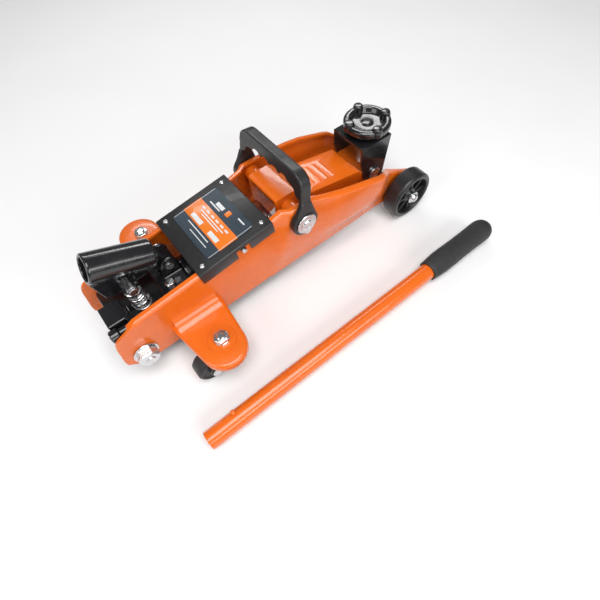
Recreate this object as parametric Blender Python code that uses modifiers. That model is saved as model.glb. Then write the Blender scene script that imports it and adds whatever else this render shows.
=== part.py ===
"""Hydraulic trolley jack with its loose pump lever.

Metres, +X towards the front wheels, +Y to the left, +Z up. Sizes are written in the jack's own
frame, whose origin is the floor point below the middle of the front axle. The whole set is then
shifted so that the world origin is the centre of its footprint.
"""
import math

import bmesh
import bpy
from mathutils import Matrix, Vector

MM = 0.001
GAP = 0.3 * MM                      # left between pieces that touch
MERGE = 0.05 * MM

# Overall layout
WHEEL_RADIUS = 35 * MM
WHEEL_FACE_Y = 73.7 * MM
WHEEL_INNER_Y = 49.8 * MM
AXLE_RADIUS = 6 * MM
AXLE_END_Y = 73 * MM
SHEET = 3 * MM                      # side plate thickness
REAR_WEB_Y = 47 * MM                # outer faces of the side plates
MID_WEB_Y = 53.2 * MM
NOSE_WEB_Y = 46.4 * MM
PLATE_REAR_X = -429 * MM
PLATE_NOSE_X = 23 * MM
NOSE_CENTRE_X = -1 * MM             # centre of the nose's round end
FLANGE_END_X = -392 * MM
FLANGE_WIDTH = 8 * MM
FLANGE_BEND = 4.5 * MM
CROWN_Z = 122.5 * MM                # highest point of the side plates

# Lift arm, saddle and links
PIVOT_X = -180.5 * MM
PIVOT_Z = 106 * MM
PIVOT_RADIUS = 10 * MM
PIVOT_NECK = 7 * MM                 # where the shaft passes through the side plates
ARM_HALF = 27.5 * MM                # outside of the arm's cheeks
ARM_WALL = 3.3 * MM
ARM_TOP_Z = 123 * MM
TONGUE_HALF = 24 * MM               # the arm's narrow front end
TIP_X = -37 * MM                    # pin between arm and saddle bracket
TIP_Z = 70 * MM
TIP_RADIUS = 6 * MM
BRACKET_WALL = 3 * MM
BRACKET_TOP_Z = 119 * MM
SADDLE_X = -31 * MM
SADDLE_Z = 138 * MM
SADDLE_RADIUS = 30.3 * MM
SADDLE_STEM = 8 * MM
LUG_FOOT_Z = 125.4 * MM
LINK_DX = 10 * MM                   # radius links, offset from the arm's pins
LINK_DZ = -30 * MM
LINK_WALL = 4 * MM
LINK_PIN = 5 * MM

# Power unit
CYLINDER_RADIUS = 24 * MM
CYLINDER_Z = 60 * MM
CYLINDER_START_X = -318 * MM
CYLINDER_END_X = -240 * MM
GLAND_RADIUS = 26 * MM
GLAND_END_X = -228 * MM
RAM_RADIUS = 9 * MM
RAM_BACK_X = -304 * MM
RAM_PIN_X = PIVOT_X - 10 * MM
RAM_PIN_Z = CYLINDER_Z
RAM_PIN_RADIUS = 6 * MM
BLOCK_REAR_X = -420 * MM
BLOCK_TOP_Z = 66 * MM
BOLT_X = -405 * MM
BOLT_Z = 41.7 * MM
BOLT_RADIUS = 6 * MM

# Cover
COVER_REAR = (-314.5 * MM, 109.9 * MM)
COVER_FRONT = (-216.4 * MM, 122.7 * MM)
COVER_WALL = 2.2 * MM
COVER_SKIRT = 17 * MM
LABEL_LENGTH = 62 * MM
LABEL_WIDTH = 78 * MM

# Pump handle socket
SOCKET_PIVOT_X = -330 * MM
SOCKET_PIVOT_Z = 93 * MM
SOCKET_PIN = 5 * MM
SOCKET_EYE = 10 * MM
SOCKET_Y = 12 * MM
SOCKET_RADIUS = 16.8 * MM
SOCKET_BORE = 12.8 * MM
SOCKET_OPEN_X = -404 * MM
SOCKET_OPEN_Z = 139 * MM
SOCKET_RISE = math.radians(23.4)
SOCKET_LENGTH = 70 * MM
EAR_IN = -14 * MM                   # the block's two ears, from the socket's middle
EAR_OUT = 9.6 * MM
EAR_THICK = 4.4 * MM
PLUNGER_X = -377 * MM
PLUNGER_Y = -8 * MM
PLUNGER_RADIUS = 6 * MM
PLUNGER_TOP_Z = 101 * MM
ROLLER_RADIUS = 6 * MM
ROLLER_PIN = 3 * MM
SPRING_FOOT_Z = 73 * MM
SPRING_WIRE = 1.1 * MM
SPRING_RADIUS = 8.6 * MM
SPRING_TURNS = 4.5
VALVE_Y = -35 * MM
VALVE_Z = 81 * MM

# Casters
CASTER_X = -330.1 * MM
CASTER_Y = 96.3 * MM
LOBE_X = -332.9 * MM
LOBE_Y = 103.2 * MM
LOBE_RADIUS = 27 * MM
LOBE_TOP_Z = 54 * MM
LOBE_RIM_Z = 44.5 * MM
CASTER_WHEEL_RADIUS = 21 * MM
CASTER_TRAIL = 23 * MM
KINGPIN_RADIUS = 5 * MM

# Carry handle
HANDLE_BOSS = 17.5 * MM
HANDLE_INNER_Y = 54 * MM
HANDLE_FACE_Y = 62.9 * MM
HANDLE_TOP_Z = 167 * MM
HANDLE_TOP_Y = 57.5 * MM
HANDLE_LEAN = 7 * MM

# Loose pump lever, lying on the floor beside the jack
LEVER_Y = -167 * MM
LEVER_OPEN_X = -404 * MM
LEVER_END_X = 54 * MM
LEVER_RADIUS = 11 * MM
LEVER_BORE = 9 * MM
LEVER_BLIND = 26 * MM
GRIP_RADIUS = 15.5 * MM
GRIP_LENGTH = 118 * MM

ORIGIN_X = (PLATE_REAR_X + LEVER_END_X) / 2
ORIGIN_Y = (LOBE_Y + LOBE_RADIUS + LEVER_Y - GRIP_RADIUS) / 2

GRAZING = ("carry_handle",)         # joined by faces that graze each other

LEFT, RIGHT = 1, -1
SIDES = (("left", LEFT), ("right", RIGHT))

PAINTS = {
    "orange": ((0.63, 0.115, 0.010), 0.28, 0.0),
    "gloss_black": ((0.012, 0.012, 0.014), 0.22, 0.0),
    "satin_black": ((0.022, 0.022, 0.023), 0.48, 0.0),
    "tyre_black": ((0.020, 0.020, 0.020), 0.55, 0.0),
    "grip_black": ((0.018, 0.018, 0.018), 0.75, 0.0),
    "zinc": ((0.62, 0.63, 0.64), 0.30, 1.0),
    "steel": ((0.55, 0.55, 0.56), 0.22, 1.0),
    "slate": ((0.055, 0.085, 0.115), 0.45, 0.0),
}


# ---------------------------------------------------------------- helpers

def clear_scene():
    for existing in list(bpy.data.objects):
        bpy.data.objects.remove(existing)


def new_collection(name):
    collection = bpy.data.collections.new(name)
    bpy.context.scene.collection.children.link(collection)
    return collection


def make_material(part_name, paint):
    """One Principled material for one part, coloured from the paint table."""
    color, roughness, metallic = PAINTS[paint]
    material = bpy.data.materials.new(part_name)
    material.use_nodes = True
    shader = material.node_tree.nodes["Principled BSDF"]
    shader.inputs["Base Color"].default_value = (*color, 1.0)
    shader.inputs["Roughness"].default_value = roughness
    shader.inputs["Metallic"].default_value = metallic
    return material


def attach(obj, empty):
    """Parent without moving: both are written in the same frame."""
    obj.parent = empty
    obj.matrix_parent_inverse = Matrix.Translation(-empty.location)


def body_empty(name, location):
    """Empty on a body's joint axis; what it carries is still written in the jack's frame."""
    empty = bpy.data.objects.new(f"axis_{name}", None)
    PARTS.objects.link(empty)
    empty.location = location
    if name != "jack":
        attach(empty, AXES["jack"])
    AXES[name] = empty
    return empty


def add_part(name, mesh, paint, body):
    """Put a mesh into the model as a finished part of a body."""
    mesh.name = name
    obj = bpy.data.objects.new(name, mesh)
    mesh.materials.clear()
    mesh.materials.append(make_material(name, paint))
    PARTS.objects.link(obj)
    attach(obj, AXES[body])
    return obj


def add_cutter(name, mesh, like=None):
    """A helper solid that cuts or joins; it is no part of the model itself."""
    obj = bpy.data.objects.new(name, mesh)
    CUTTERS.objects.link(obj)
    obj.hide_render = True
    obj.display_type = "WIRE"
    if like is not None:
        obj.parent = like.parent
        obj.matrix_parent_inverse = like.matrix_parent_inverse
    return obj


def triangulated(mesh):
    bm = bmesh.new()
    bm.from_mesh(mesh)
    bmesh.ops.triangulate(bm, faces=bm.faces)
    bm.to_mesh(mesh)
    bm.free()
    return mesh


def boolean(obj, mesh, operation):
    """Cut or join; both sides are triangles first, because bent faces do not cut cleanly."""
    if not any(modifier.type == "TRIANGULATE" for modifier in obj.modifiers):
        obj.modifiers.new("Flat faces", "TRIANGULATE")
    triangulated(mesh)
    helper = add_cutter(f"{obj.name}.{operation.lower()}.{len(obj.modifiers)}", mesh, obj)
    modifier = obj.modifiers.new(operation.title(), "BOOLEAN")
    modifier.operation = operation
    modifier.solver = "MANIFOLD" if obj.name in GRAZING else "EXACT"
    modifier.object = helper
    return obj


def cut(obj, *meshes):
    for mesh in meshes:
        boolean(obj, mesh, "DIFFERENCE")
    return obj


def weld(obj, *meshes):
    for mesh in meshes:
        boolean(obj, mesh, "UNION")
    return obj


def soften(obj, width, segments=2, angle=35):
    """Bevel the sharp edges of a part."""
    modifier = obj.modifiers.new("Bevel", "BEVEL")
    modifier.width = width
    modifier.segments = segments
    modifier.limit_method = "ANGLE"
    modifier.angle_limit = math.radians(angle)
    modifier.use_clamp_overlap = True
    return obj


def smooth(obj, angle=32):
    obj.data.shade_smooth()
    obj.data.set_sharp_from_angle(angle=math.radians(angle))
    return obj


def mesh_from(bm):
    mesh = bpy.data.meshes.new("shape")
    bm.to_mesh(mesh)
    bm.free()
    return mesh


def box(low, high):
    bm = bmesh.new()
    bmesh.ops.create_cube(bm, size=1.0)
    size = Vector(high) - Vector(low)
    middle = (Vector(high) + Vector(low)) / 2
    bmesh.ops.scale(bm, vec=size, verts=bm.verts)
    bmesh.ops.translate(bm, vec=middle, verts=bm.verts)
    return mesh_from(bm)


def along(start, end):
    """Matrix that carries local +Z onto the line from start to end."""
    direction = Vector(end) - Vector(start)
    turn = Vector((0, 0, 1)).rotation_difference(direction).to_matrix().to_4x4()
    return Matrix.Translation(start) @ turn


def rod(radius, start, end, segments=20, end_radius=None):
    length = (Vector(end) - Vector(start)).length
    bm = bmesh.new()
    bmesh.ops.create_cone(
        bm, cap_ends=True, segments=segments, radius1=radius,
        radius2=radius if end_radius is None else end_radius, depth=length,
        matrix=Matrix.Translation((0, 0, length / 2)))
    bmesh.ops.transform(bm, matrix=along(start, end), verts=bm.verts)
    return mesh_from(bm)


def cross_rod(radius, x, z, y_from, y_to, segments=20):
    return rod(radius, (x, y_from, z), (x, y_to, z), segments)


def turned(profile, start, end, steps=20):
    """Turn a profile of (radius, distance along the axis) points, listed from far end to near."""
    mesh = bpy.data.meshes.new("profile")
    points = [(radius, 0.0, height) for radius, height in profile]
    edges = [(i, i + 1) for i in range(len(points) - 1)]
    if profile[0][0] > 0 and profile[-1][0] > 0:
        edges.append((len(points) - 1, 0))
    mesh.from_pydata(points, edges, [])
    lathe = bpy.data.objects.new("lathe", mesh)
    bpy.context.scene.collection.objects.link(lathe)
    screw = lathe.modifiers.new("Screw", "SCREW")
    screw.axis = "Z"
    screw.steps = screw.render_steps = steps
    screw.use_merge_vertices = True
    screw.merge_threshold = MERGE
    bpy.context.view_layer.update()
    evaluated = lathe.evaluated_get(bpy.context.evaluated_depsgraph_get())
    shape = bpy.data.meshes.new_from_object(evaluated)
    bpy.data.objects.remove(lathe)
    shape.transform(along(start, end))
    return shape


def from_curve(curve):
    """Closed mesh of a curve object, its caps welded."""
    holder = bpy.data.objects.new("curve", curve)
    bpy.context.scene.collection.objects.link(holder)
    bpy.context.view_layer.update()
    evaluated = holder.evaluated_get(bpy.context.evaluated_depsgraph_get())
    mesh = bpy.data.meshes.new_from_object(evaluated)
    bpy.data.objects.remove(holder)
    bm = bmesh.new()
    bm.from_mesh(mesh)
    bmesh.ops.remove_doubles(bm, verts=bm.verts, dist=MERGE / 5)
    bm.to_mesh(mesh)
    bm.free()
    return mesh


def prism(outline, plane, low, high):
    """Extrude a flat outline; plane names its two axes and low..high span the third."""
    curve = bpy.data.curves.new("outline", "CURVE")
    curve.dimensions = "2D"
    curve.fill_mode = "BOTH"
    spline = curve.splines.new("POLY")
    spline.points.add(len(outline) - 1)
    for point, (u, v) in zip(spline.points, outline):
        point.co = (u, v, 0.0, 1.0)
    spline.use_cyclic_u = True
    curve.extrude = (high - low) / 2
    mesh = from_curve(curve)
    middle = (low + high) / 2
    turns = {
        "XY": Matrix.Translation((0, 0, middle)),
        "XZ": Matrix.Translation((0, middle, 0)) @ Matrix.Rotation(math.pi / 2, 4, "X"),
        "YZ": Matrix(((0, 0, 1, middle), (1, 0, 0, 0), (0, 1, 0, 0), (0, 0, 0, 1))),
    }
    mesh.transform(turns[plane])
    return mesh


def wire(points, radius, resolution=2):
    """Round wire through a list of points."""
    curve = bpy.data.curves.new("wire", "CURVE")
    curve.dimensions = "3D"
    curve.bevel_depth = radius
    curve.bevel_resolution = resolution
    curve.use_fill_caps = True
    spline = curve.splines.new("POLY")
    spline.points.add(len(points) - 1)
    for point, place in zip(spline.points, points):
        point.co = (*place, 1.0)
    return from_curve(curve)


def arc(centre, radius, start, end, steps=6):
    """Points of an arc, angles in degrees."""
    points = []
    for i in range(steps + 1):
        angle = math.radians(start + (end - start) * i / steps)
        points.append((centre[0] + radius * math.cos(angle), centre[1] + radius * math.sin(angle)))
    return points


def rounded(corners, steps=4):
    """Outline from (u, v, corner radius) triples, with an arc at each rounded corner."""
    outline = []
    count = len(corners)
    for i, (u, v, radius) in enumerate(corners):
        here = Vector((u, v))
        before = Vector(corners[i - 1][:2]) - here
        after = Vector(corners[(i + 1) % count][:2]) - here
        if radius == 0:
            outline.append((u, v))
            continue
        half = before.angle(after) / 2
        centre = here + (before.normalized() + after.normalized()).normalized() * radius / math.sin(half)
        reach = radius / math.tan(half)
        first = here + before.normalized() * reach - centre
        last = here + after.normalized() * reach - centre
        sweep = first.angle_signed(last)
        for j in range(steps + 1):
            spoke = first.copy()
            spoke.rotate(Matrix.Rotation(-sweep * j / steps, 2))
            outline.append(tuple(centre + spoke))
    return outline


def blend(value, low, high):
    """Smooth step from 0 at low to 1 at high."""
    t = min(max((value - low) / (high - low), 0.0), 1.0)
    return t * t * (3 - 2 * t)


def between(x, stations):
    """Straight-line reading of a list of (x, value) stations."""
    for (x0, v0), (x1, v1) in zip(stations, stations[1:]):
        if x <= x1:
            t = min(max((x - x0) / (x1 - x0), 0.0), 1.0)
            return v0 + (v1 - v0) * t
    return stations[-1][1]


# ---------------------------------------------------------------- side plates

TOP_LINE = (
    (PLATE_REAR_X, 92.5 * MM), (FLANGE_END_X, 96.8 * MM), (-315 * MM, 105.7 * MM), (-216 * MM, 118.4 * MM),
    (-200 * MM, CROWN_Z), (-166 * MM, CROWN_Z), (-150 * MM, 119 * MM), (-97 * MM, 107 * MM), (-46 * MM, 91.5 * MM),
    (-22 * MM, 74.5 * MM), (10 * MM, 56 * MM), (30 * MM, 46 * MM),
)
BULGE = (                           # how far the upper web stands out beyond the lower
    (-160 * MM, MID_WEB_Y - REAR_WEB_Y), (-146 * MM, 9.5 * MM), (-120 * MM, 13.4 * MM), (-97 * MM, 15 * MM),
    (-60 * MM, 14.4 * MM),
)
BULGE_FOOT_Z = 30 * MM
BULGE_FULL_Z = 66 * MM
JOGGLE_REAR_X = -200 * MM
JOGGLE_FRONT_X = -191 * MM
JOGGLE_SLANT = 0.45                 # the joggle runs down and back
NOSE_FOLD_X = -54 * MM
NOSE_STRAIGHT_X = -24 * MM
PLATE_STATIONS = [
    x * MM for x in (-434, -392, -350, -315, -270, -256, -246, -236, -226, -216, -208, -200, -192, -184, -170,
                     -160, -146, -120, -97, -80, -56, -48, -41, -34, -26, -12, 8, 28)]


def web_y(x, z):
    """Outer face of a side plate: narrow at the rear, wide amidships, narrow at the axle."""
    slant = JOGGLE_SLANT * (z - CROWN_Z)
    upper = blend(z, BULGE_FOOT_Z, BULGE_FULL_Z)
    wide = between(x, BULGE) * blend(x - slant, JOGGLE_REAR_X, JOGGLE_FRONT_X) * upper
    nose = blend(x, NOSE_FOLD_X, NOSE_STRAIGHT_X)
    return REAR_WEB_Y + wide * (1 - nose) + (NOSE_WEB_Y - REAR_WEB_Y) * nose


def plate_section(x, bottom):
    """Outer face of the pressed sheet at one station, from the flange's inner edge down."""
    top = between(x, TOP_LINE)
    y = web_y(x, top)
    section = [(y - FLANGE_WIDTH, top), *arc((y - FLANGE_BEND, top - FLANGE_BEND), FLANGE_BEND, 90, 0, 3)]
    start = top - FLANGE_BEND
    for share in (0.12, 0.28, 0.42, 0.56, 0.7, 1.0):
        z = start + (bottom - start) * share
        section.append((web_y(x, z), z))
    return section


def plate_sheet(side):
    """Open surface of one side plate, flange and web in one sweep."""
    bottom = 14 * MM
    rows = [[(x, side * y, z) for y, z in plate_section(x, bottom)] for x in PLATE_STATIONS]
    bm = bmesh.new()
    grid = [[bm.verts.new(point) for point in row] for row in rows]
    for row, following in zip(grid, grid[1:]):
        for i in range(len(row) - 1):
            corners = [row[i], row[i + 1], following[i + 1], following[i]]
            bm.faces.new(corners if side == RIGHT else corners[::-1])
    return mesh_from(bm)


def plate_trim():
    """Side view of what is cut away behind, below and ahead of a side plate."""
    over, under = 150 * MM, 0.0
    rear = rounded((
        (FLANGE_END_X, over, 0), (FLANGE_END_X, 97.5 * MM, 0), (-424 * MM, 84 * MM, 16 * MM),
        (PLATE_REAR_X, 47 * MM, 10 * MM), (PLATE_REAR_X, 37 * MM, 8 * MM), (-414 * MM, 21.5 * MM, 8 * MM),
        (-392 * MM, 21.5 * MM, 0), (-385 * MM, under, 0), (-450 * MM, under, 0), (-450 * MM, over, 0)))
    belly = [(-392.2 * MM, 21.5 * MM), (-300 * MM, 24 * MM), (-190 * MM, 26.5 * MM),
             (-45 * MM, 26.5 * MM), (0, 18 * MM), (10 * MM, 19 * MM),
             (15 * MM, under), (-400 * MM, under)]
    nose = [(4 * MM, over), (4 * MM, 64 * MM), *arc((NOSE_CENTRE_X, 41 * MM), PLATE_NOSE_X - NOSE_CENTRE_X, 62, -62, 8),
            (9 * MM, 5 * MM), (60 * MM, 5 * MM), (60 * MM, over)]
    return rear, belly, nose


def lobe_outline(inset, inner_y):
    """Plan of a caster wing: straight sides from the web into a half circle."""
    radius = LOBE_RADIUS - inset
    rear_x = LOBE_X - 35.5 * MM + inset
    front_x = LOBE_X + 33 * MM - inset
    return [(front_x, inner_y), *arc((LOBE_X, LOBE_Y), radius, 8, 172, 14), (rear_x, inner_y)]


def wing_meshes():
    """Caster wing seen from the left: shell, hollow below it, fillet to the web, ring round the nut."""
    shell = prism(lobe_outline(0, REAR_WEB_Y - 1.6 * MM), "XY", LOBE_RIM_Z, LOBE_TOP_Z)
    bm = bmesh.new()
    bm.from_mesh(shell)
    rim = [edge for edge in bm.edges if all(v.co.z > LOBE_TOP_Z - MM for v in edge.verts)
           and max(v.co.y for v in edge.verts) > REAR_WEB_Y and len(edge.link_faces) == 2
           and edge.calc_face_angle(0) > 1]
    bmesh.ops.bevel(bm, geom=rim, offset=4 * MM, segments=3, profile=0.5, affect="EDGES")
    bm.to_mesh(shell)
    bm.free()
    hollow = prism(lobe_outline(SHEET, REAR_WEB_Y + 3 * MM), "XY", LOBE_RIM_Z - 5 * MM, LOBE_TOP_Z - SHEET)
    radius = 19 * MM
    inside = REAR_WEB_Y - 1.6 * MM
    section = [(inside, LOBE_TOP_Z - 2 * MM), (REAR_WEB_Y + radius, LOBE_TOP_Z - 2 * MM),
               *arc((REAR_WEB_Y - 0.5 * MM + radius, LOBE_TOP_Z - 0.3 * MM + radius), radius, 270, 180, 6),
               (inside, LOBE_TOP_Z + radius + 2 * MM)]
    fillet = prism(section, "YZ", LOBE_X - 30 * MM, LOBE_X + 27 * MM)
    ring = rod(17.3 * MM, (CASTER_X, CASTER_Y, LOBE_TOP_Z - MM), (CASTER_X, CASTER_Y, LOBE_TOP_Z + 1.1 * MM), 28,
               16.2 * MM)
    return shell, hollow, fillet, ring


def mirrored(mesh, side):
    """The same mesh on the other side of the jack."""
    if side == LEFT:
        return mesh
    bm = bmesh.new()
    bm.from_mesh(mesh)
    bmesh.ops.transform(bm, matrix=Matrix.Scale(-1, 4, (0, 1, 0)), verts=bm.verts)
    bmesh.ops.reverse_faces(bm, faces=bm.faces)
    bm.to_mesh(mesh)
    bm.free()
    return mesh


def side_plate(name, side):
    plate = add_part(f"side_plate_{name}", plate_sheet(side), "orange", "jack")
    thick = plate.modifiers.new("Sheet", "SOLIDIFY")
    thick.thickness = SHEET
    thick.offset = -1
    reach = (30 * MM, 75 * MM) if side == LEFT else (-75 * MM, -30 * MM)
    for outline in plate_trim():
        cut(plate, prism(outline, "XZ", *reach))
    shell, hollow, fillet, ring = [mirrored(mesh, side) for mesh in wing_meshes()]
    weld(plate, shell, fillet)
    cut(plate, hollow)
    weld(plate, ring)
    y = side * 40 * MM
    far = side * 70 * MM
    cut(plate,
        cross_rod(AXLE_RADIUS + GAP, 0, WHEEL_RADIUS, y, far),
        cross_rod(PIVOT_NECK + GAP, PIVOT_X, PIVOT_Z, y, far),
        cross_rod(BOLT_RADIUS + GAP, BOLT_X, BOLT_Z, y, far))
    cut(plate,
        cross_rod(LINK_PIN + GAP, PIVOT_X + LINK_DX, PIVOT_Z + LINK_DZ, y, far, 16),
        rod(KINGPIN_RADIUS + GAP, (CASTER_X, side * CASTER_Y, 30 * MM), (CASTER_X, side * CASTER_Y, 70 * MM), 20))
    return smooth(plate, 28)


# ---------------------------------------------------------------- frame pieces

def hexagon(across_corners, start, end, chamfer=0.0):
    radius = across_corners / 2
    return rod(radius, start, end, 6, radius - chamfer)


def symmetric_pin(name, x, z, stations, paint, body, steps=20):
    """Cross shaft turned about Y; stations are (|y|, radius) steps from the middle outwards."""
    profile = [(0.0, stations[-1][0])]
    inner = [0.0] + [y for y, _ in stations[:-1]]
    for (outer_y, radius), inner_y in reversed(list(zip(stations, inner))):
        profile += [(radius, outer_y), (radius, inner_y)]
    half = [(radius, y) for radius, y in profile if y > 0 or radius == 0]
    whole = half + [(radius, -y) for radius, y in reversed(half)]
    return smooth(add_part(name, turned(whole, (x, 0, z), (x, 1, z), steps), paint, body))


def front_axle():
    stations = [(NOSE_WEB_Y + 0.5 * MM, AXLE_RADIUS), (WHEEL_INNER_Y - GAP, AXLE_RADIUS + 4 * MM),
                (AXLE_END_Y, AXLE_RADIUS)]
    symmetric_pin("front_axle", 0, WHEEL_RADIUS, stations, "zinc", "jack")


def front_wheel(name, side):
    bore = AXLE_RADIUS + GAP
    hub, web, rim = 11 * MM, 13 * MM, 28 * MM
    width = WHEEL_FACE_Y - WHEEL_INNER_Y
    middle = width / 2
    profile = [(bore, width - 5 * MM), (hub, width - 5 * MM), (web, middle + 3 * MM), (rim - MM, middle + 3 * MM),
               (rim, width), (WHEEL_RADIUS - 2.5 * MM, width), (WHEEL_RADIUS, width - 2.5 * MM),
               (WHEEL_RADIUS, 2.5 * MM), (WHEEL_RADIUS - 2.5 * MM, 0), (rim, 0), (rim - MM, middle - 3 * MM),
               (web, middle - 3 * MM), (hub, 0), (bore, 0)]
    start = (0, side * WHEEL_INNER_Y, WHEEL_RADIUS)
    end = (0, side * WHEEL_FACE_Y, WHEEL_RADIUS)
    smooth(add_part(f"front_wheel_{name}", turned(profile, start, end, 28), "tyre_black", f"wheel_{name}"))


def axle_cap(name, side):
    profile = [(0, 6.4 * MM), (4 * MM, 5.8 * MM), (7 * MM, 4 * MM), (8.5 * MM, 1.2 * MM), (8.5 * MM, 0), (0, 0)]
    place = (0, side * (AXLE_END_Y + 1.1 * MM), WHEEL_RADIUS)
    beyond = (0, side, WHEEL_RADIUS)
    smooth(add_part(f"axle_cap_{name}", turned(profile, place, beyond, 20), "zinc", "jack"), 50)


def rear_bolt(name, side):
    start = side * (REAR_WEB_Y + GAP)
    washer = side * (REAR_WEB_Y + 2.6 * MM)
    head = side * (REAR_WEB_Y + 15 * MM)
    bolt = add_part(f"rear_bolt_{name}", cross_rod(15 * MM, BOLT_X, BOLT_Z, start, washer, 28), "zinc", "jack")
    place = (BOLT_X, washer - side * MM, BOLT_Z)
    weld(bolt, hexagon(25 * MM, place, (BOLT_X, head, BOLT_Z), 1.5 * MM),
         cross_rod(BOLT_RADIUS, BOLT_X, BOLT_Z, side * 34 * MM, start + side * MM))
    smooth(bolt)


def arm_shaft():
    stations = [(MID_WEB_Y - SHEET - GAP, PIVOT_RADIUS), (MID_WEB_Y, PIVOT_NECK)]
    symmetric_pin("arm_pivot_shaft", PIVOT_X, PIVOT_Z, stations, "orange", "jack")


def cover():
    """Sloping cover plate on the flanges, with its label and screws, built about its top's middle."""
    dx, dz = COVER_FRONT[0] - COVER_REAR[0], COVER_FRONT[1] - COVER_REAR[1]
    length = math.hypot(dx, dz)
    middle = ((COVER_FRONT[0] + COVER_REAR[0]) / 2, 0, (COVER_FRONT[1] + COVER_REAR[1]) / 2)
    slope = Matrix.Translation(middle) @ Matrix.Rotation(-math.atan2(dz, dx), 4, "Y")
    half = length / 2
    inner_y = REAR_WEB_Y + GAP
    outer_y = inner_y + COVER_WALL

    def sloped(mesh):
        mesh.transform(slope)
        return mesh

    plate = add_part("cover_plate", sloped(box((-half, -outer_y, -COVER_SKIRT), (half, outer_y, 0))),
                     "satin_black", "jack")
    soften(plate, 1.2 * MM, 2)
    notch_middle = 7 * MM
    cut(plate, sloped(box((-half - MM, -inner_y, -COVER_SKIRT - MM), (half + MM, inner_y, -COVER_WALL))),
        sloped(box((notch_middle - 9 * MM, -outer_y - MM, -COVER_SKIRT - MM),
                   (notch_middle + 9 * MM, -inner_y + MM / 2, -5 * MM))))
    screw_x, screw_y = half - 9.5 * MM, outer_y - 9 * MM
    for i, (sx, sy) in enumerate(((1, 1), (1, -1), (-1, 1), (-1, -1)), 1):
        profile = [(0, 1.9 * MM), (1.2 * MM, 1.8 * MM), (2.2 * MM, 1.1 * MM), (2.4 * MM, GAP), (0, GAP)]
        head = turned(profile, (0, 0, 0), (0, 0, 1), 14)
        head.transform(Matrix.Translation((sx * screw_x, sy * screw_y, 0)))
        smooth(add_part(f"cover_screw_{i}", sloped(head), "zinc", "jack"), 50)
    outline = rounded([(sx * LABEL_LENGTH / 2, sy * LABEL_WIDTH / 2, 6 * MM)
                       for sx, sy in ((1, 1), (-1, 1), (-1, -1), (1, -1))])
    add_part("cover_label", sloped(prism(outline, "XY", GAP, GAP + 0.6 * MM)), "slate", "jack")
    side_screw = hexagon(8 * MM, (notch_middle, -inner_y, -10 * MM), (notch_middle, -inner_y - 4 * MM, -10 * MM), MM)
    add_part("cover_side_screw", sloped(side_screw), "zinc", "jack")


# ---------------------------------------------------------------- power unit

def pump_block():
    half = REAR_WEB_Y - SHEET - 0.6 * MM
    front = CYLINDER_START_X - GAP
    block = add_part("pump_block", box((BLOCK_REAR_X + 4 * MM, -half, 24 * MM), (front, half, BLOCK_TOP_Z)),
                     "gloss_black", "jack")
    soften(block, 1.5 * MM, 1, 50)
    head = box((front - 34 * MM, -27 * MM, BLOCK_TOP_Z - 2 * MM), (front, 28 * MM, 79 * MM))
    tower = box((BLOCK_REAR_X, -27 * MM, BLOCK_TOP_Z - 20 * MM), (-396 * MM, 2 * MM, 88 * MM))
    valve_seat = box((-399 * MM, -43 * MM, BLOCK_TOP_Z - 2 * MM), (-386 * MM, -26 * MM, 90 * MM))
    weld(block, head, tower, valve_seat)
    ear = [(SOCKET_PIVOT_X - 12 * MM, 77 * MM), (SOCKET_PIVOT_X + 11.4 * MM, 77 * MM),
           *arc((SOCKET_PIVOT_X, SOCKET_PIVOT_Z), 11 * MM, 0, 180, 8)]
    for y in (SOCKET_Y + EAR_IN, SOCKET_Y + EAR_OUT):
        weld(block, prism(ear, "XZ", y, y + EAR_THICK))
    cut(block,
        cross_rod(SOCKET_PIN + GAP, SOCKET_PIVOT_X, SOCKET_PIVOT_Z, -10 * MM, 40 * MM, 20),
        rod(PLUNGER_RADIUS + GAP, (PLUNGER_X, PLUNGER_Y, 38 * MM), (PLUNGER_X, PLUNGER_Y, 80 * MM)),
        rod(4.3 * MM, (-405 * MM, VALVE_Y, VALVE_Z), (-388 * MM, VALVE_Y, VALVE_Z), 16))
    for _, side in SIDES:
        cut(block, cross_rod(BOLT_RADIUS + GAP, BOLT_X, BOLT_Z, side * 33 * MM, side * 60 * MM))
    smooth(block)


def cylinder_and_gland():
    bore = RAM_RADIUS + GAP
    length = CYLINDER_END_X - CYLINDER_START_X
    floor = RAM_BACK_X - 2 * MM - CYLINDER_START_X
    tube = [(0, floor), (bore, floor), (bore, length), (CYLINDER_RADIUS, length), (CYLINDER_RADIUS, 0), (0, 0)]
    start, end = (CYLINDER_START_X, 0, CYLINDER_Z), (CYLINDER_END_X, 0, CYLINDER_Z)
    smooth(add_part("reservoir_tube", turned(tube, start, end, 28), "gloss_black", "jack"))
    thickness = GLAND_END_X - CYLINDER_END_X - GAP
    ring = [(bore, thickness), (GLAND_RADIUS - 2 * MM, thickness), (GLAND_RADIUS, thickness - 2 * MM),
            (GLAND_RADIUS, 0), (bore, 0)]
    start = (CYLINDER_END_X + GAP, 0, CYLINDER_Z)
    smooth(add_part("cylinder_gland", turned(ring, start, (0, 0, CYLINDER_Z), 28), "gloss_black", "jack"))


def filler_plug():
    profile = [(0, 7 * MM), (4.5 * MM, 6.6 * MM), (6 * MM, 5 * MM), (6 * MM, GAP), (0, GAP)]
    place = (-340 * MM, -15 * MM, 79 * MM)
    smooth(add_part("filler_plug", turned(profile, place, (place[0], place[1], 1), 18), "zinc", "jack"), 50)


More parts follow.
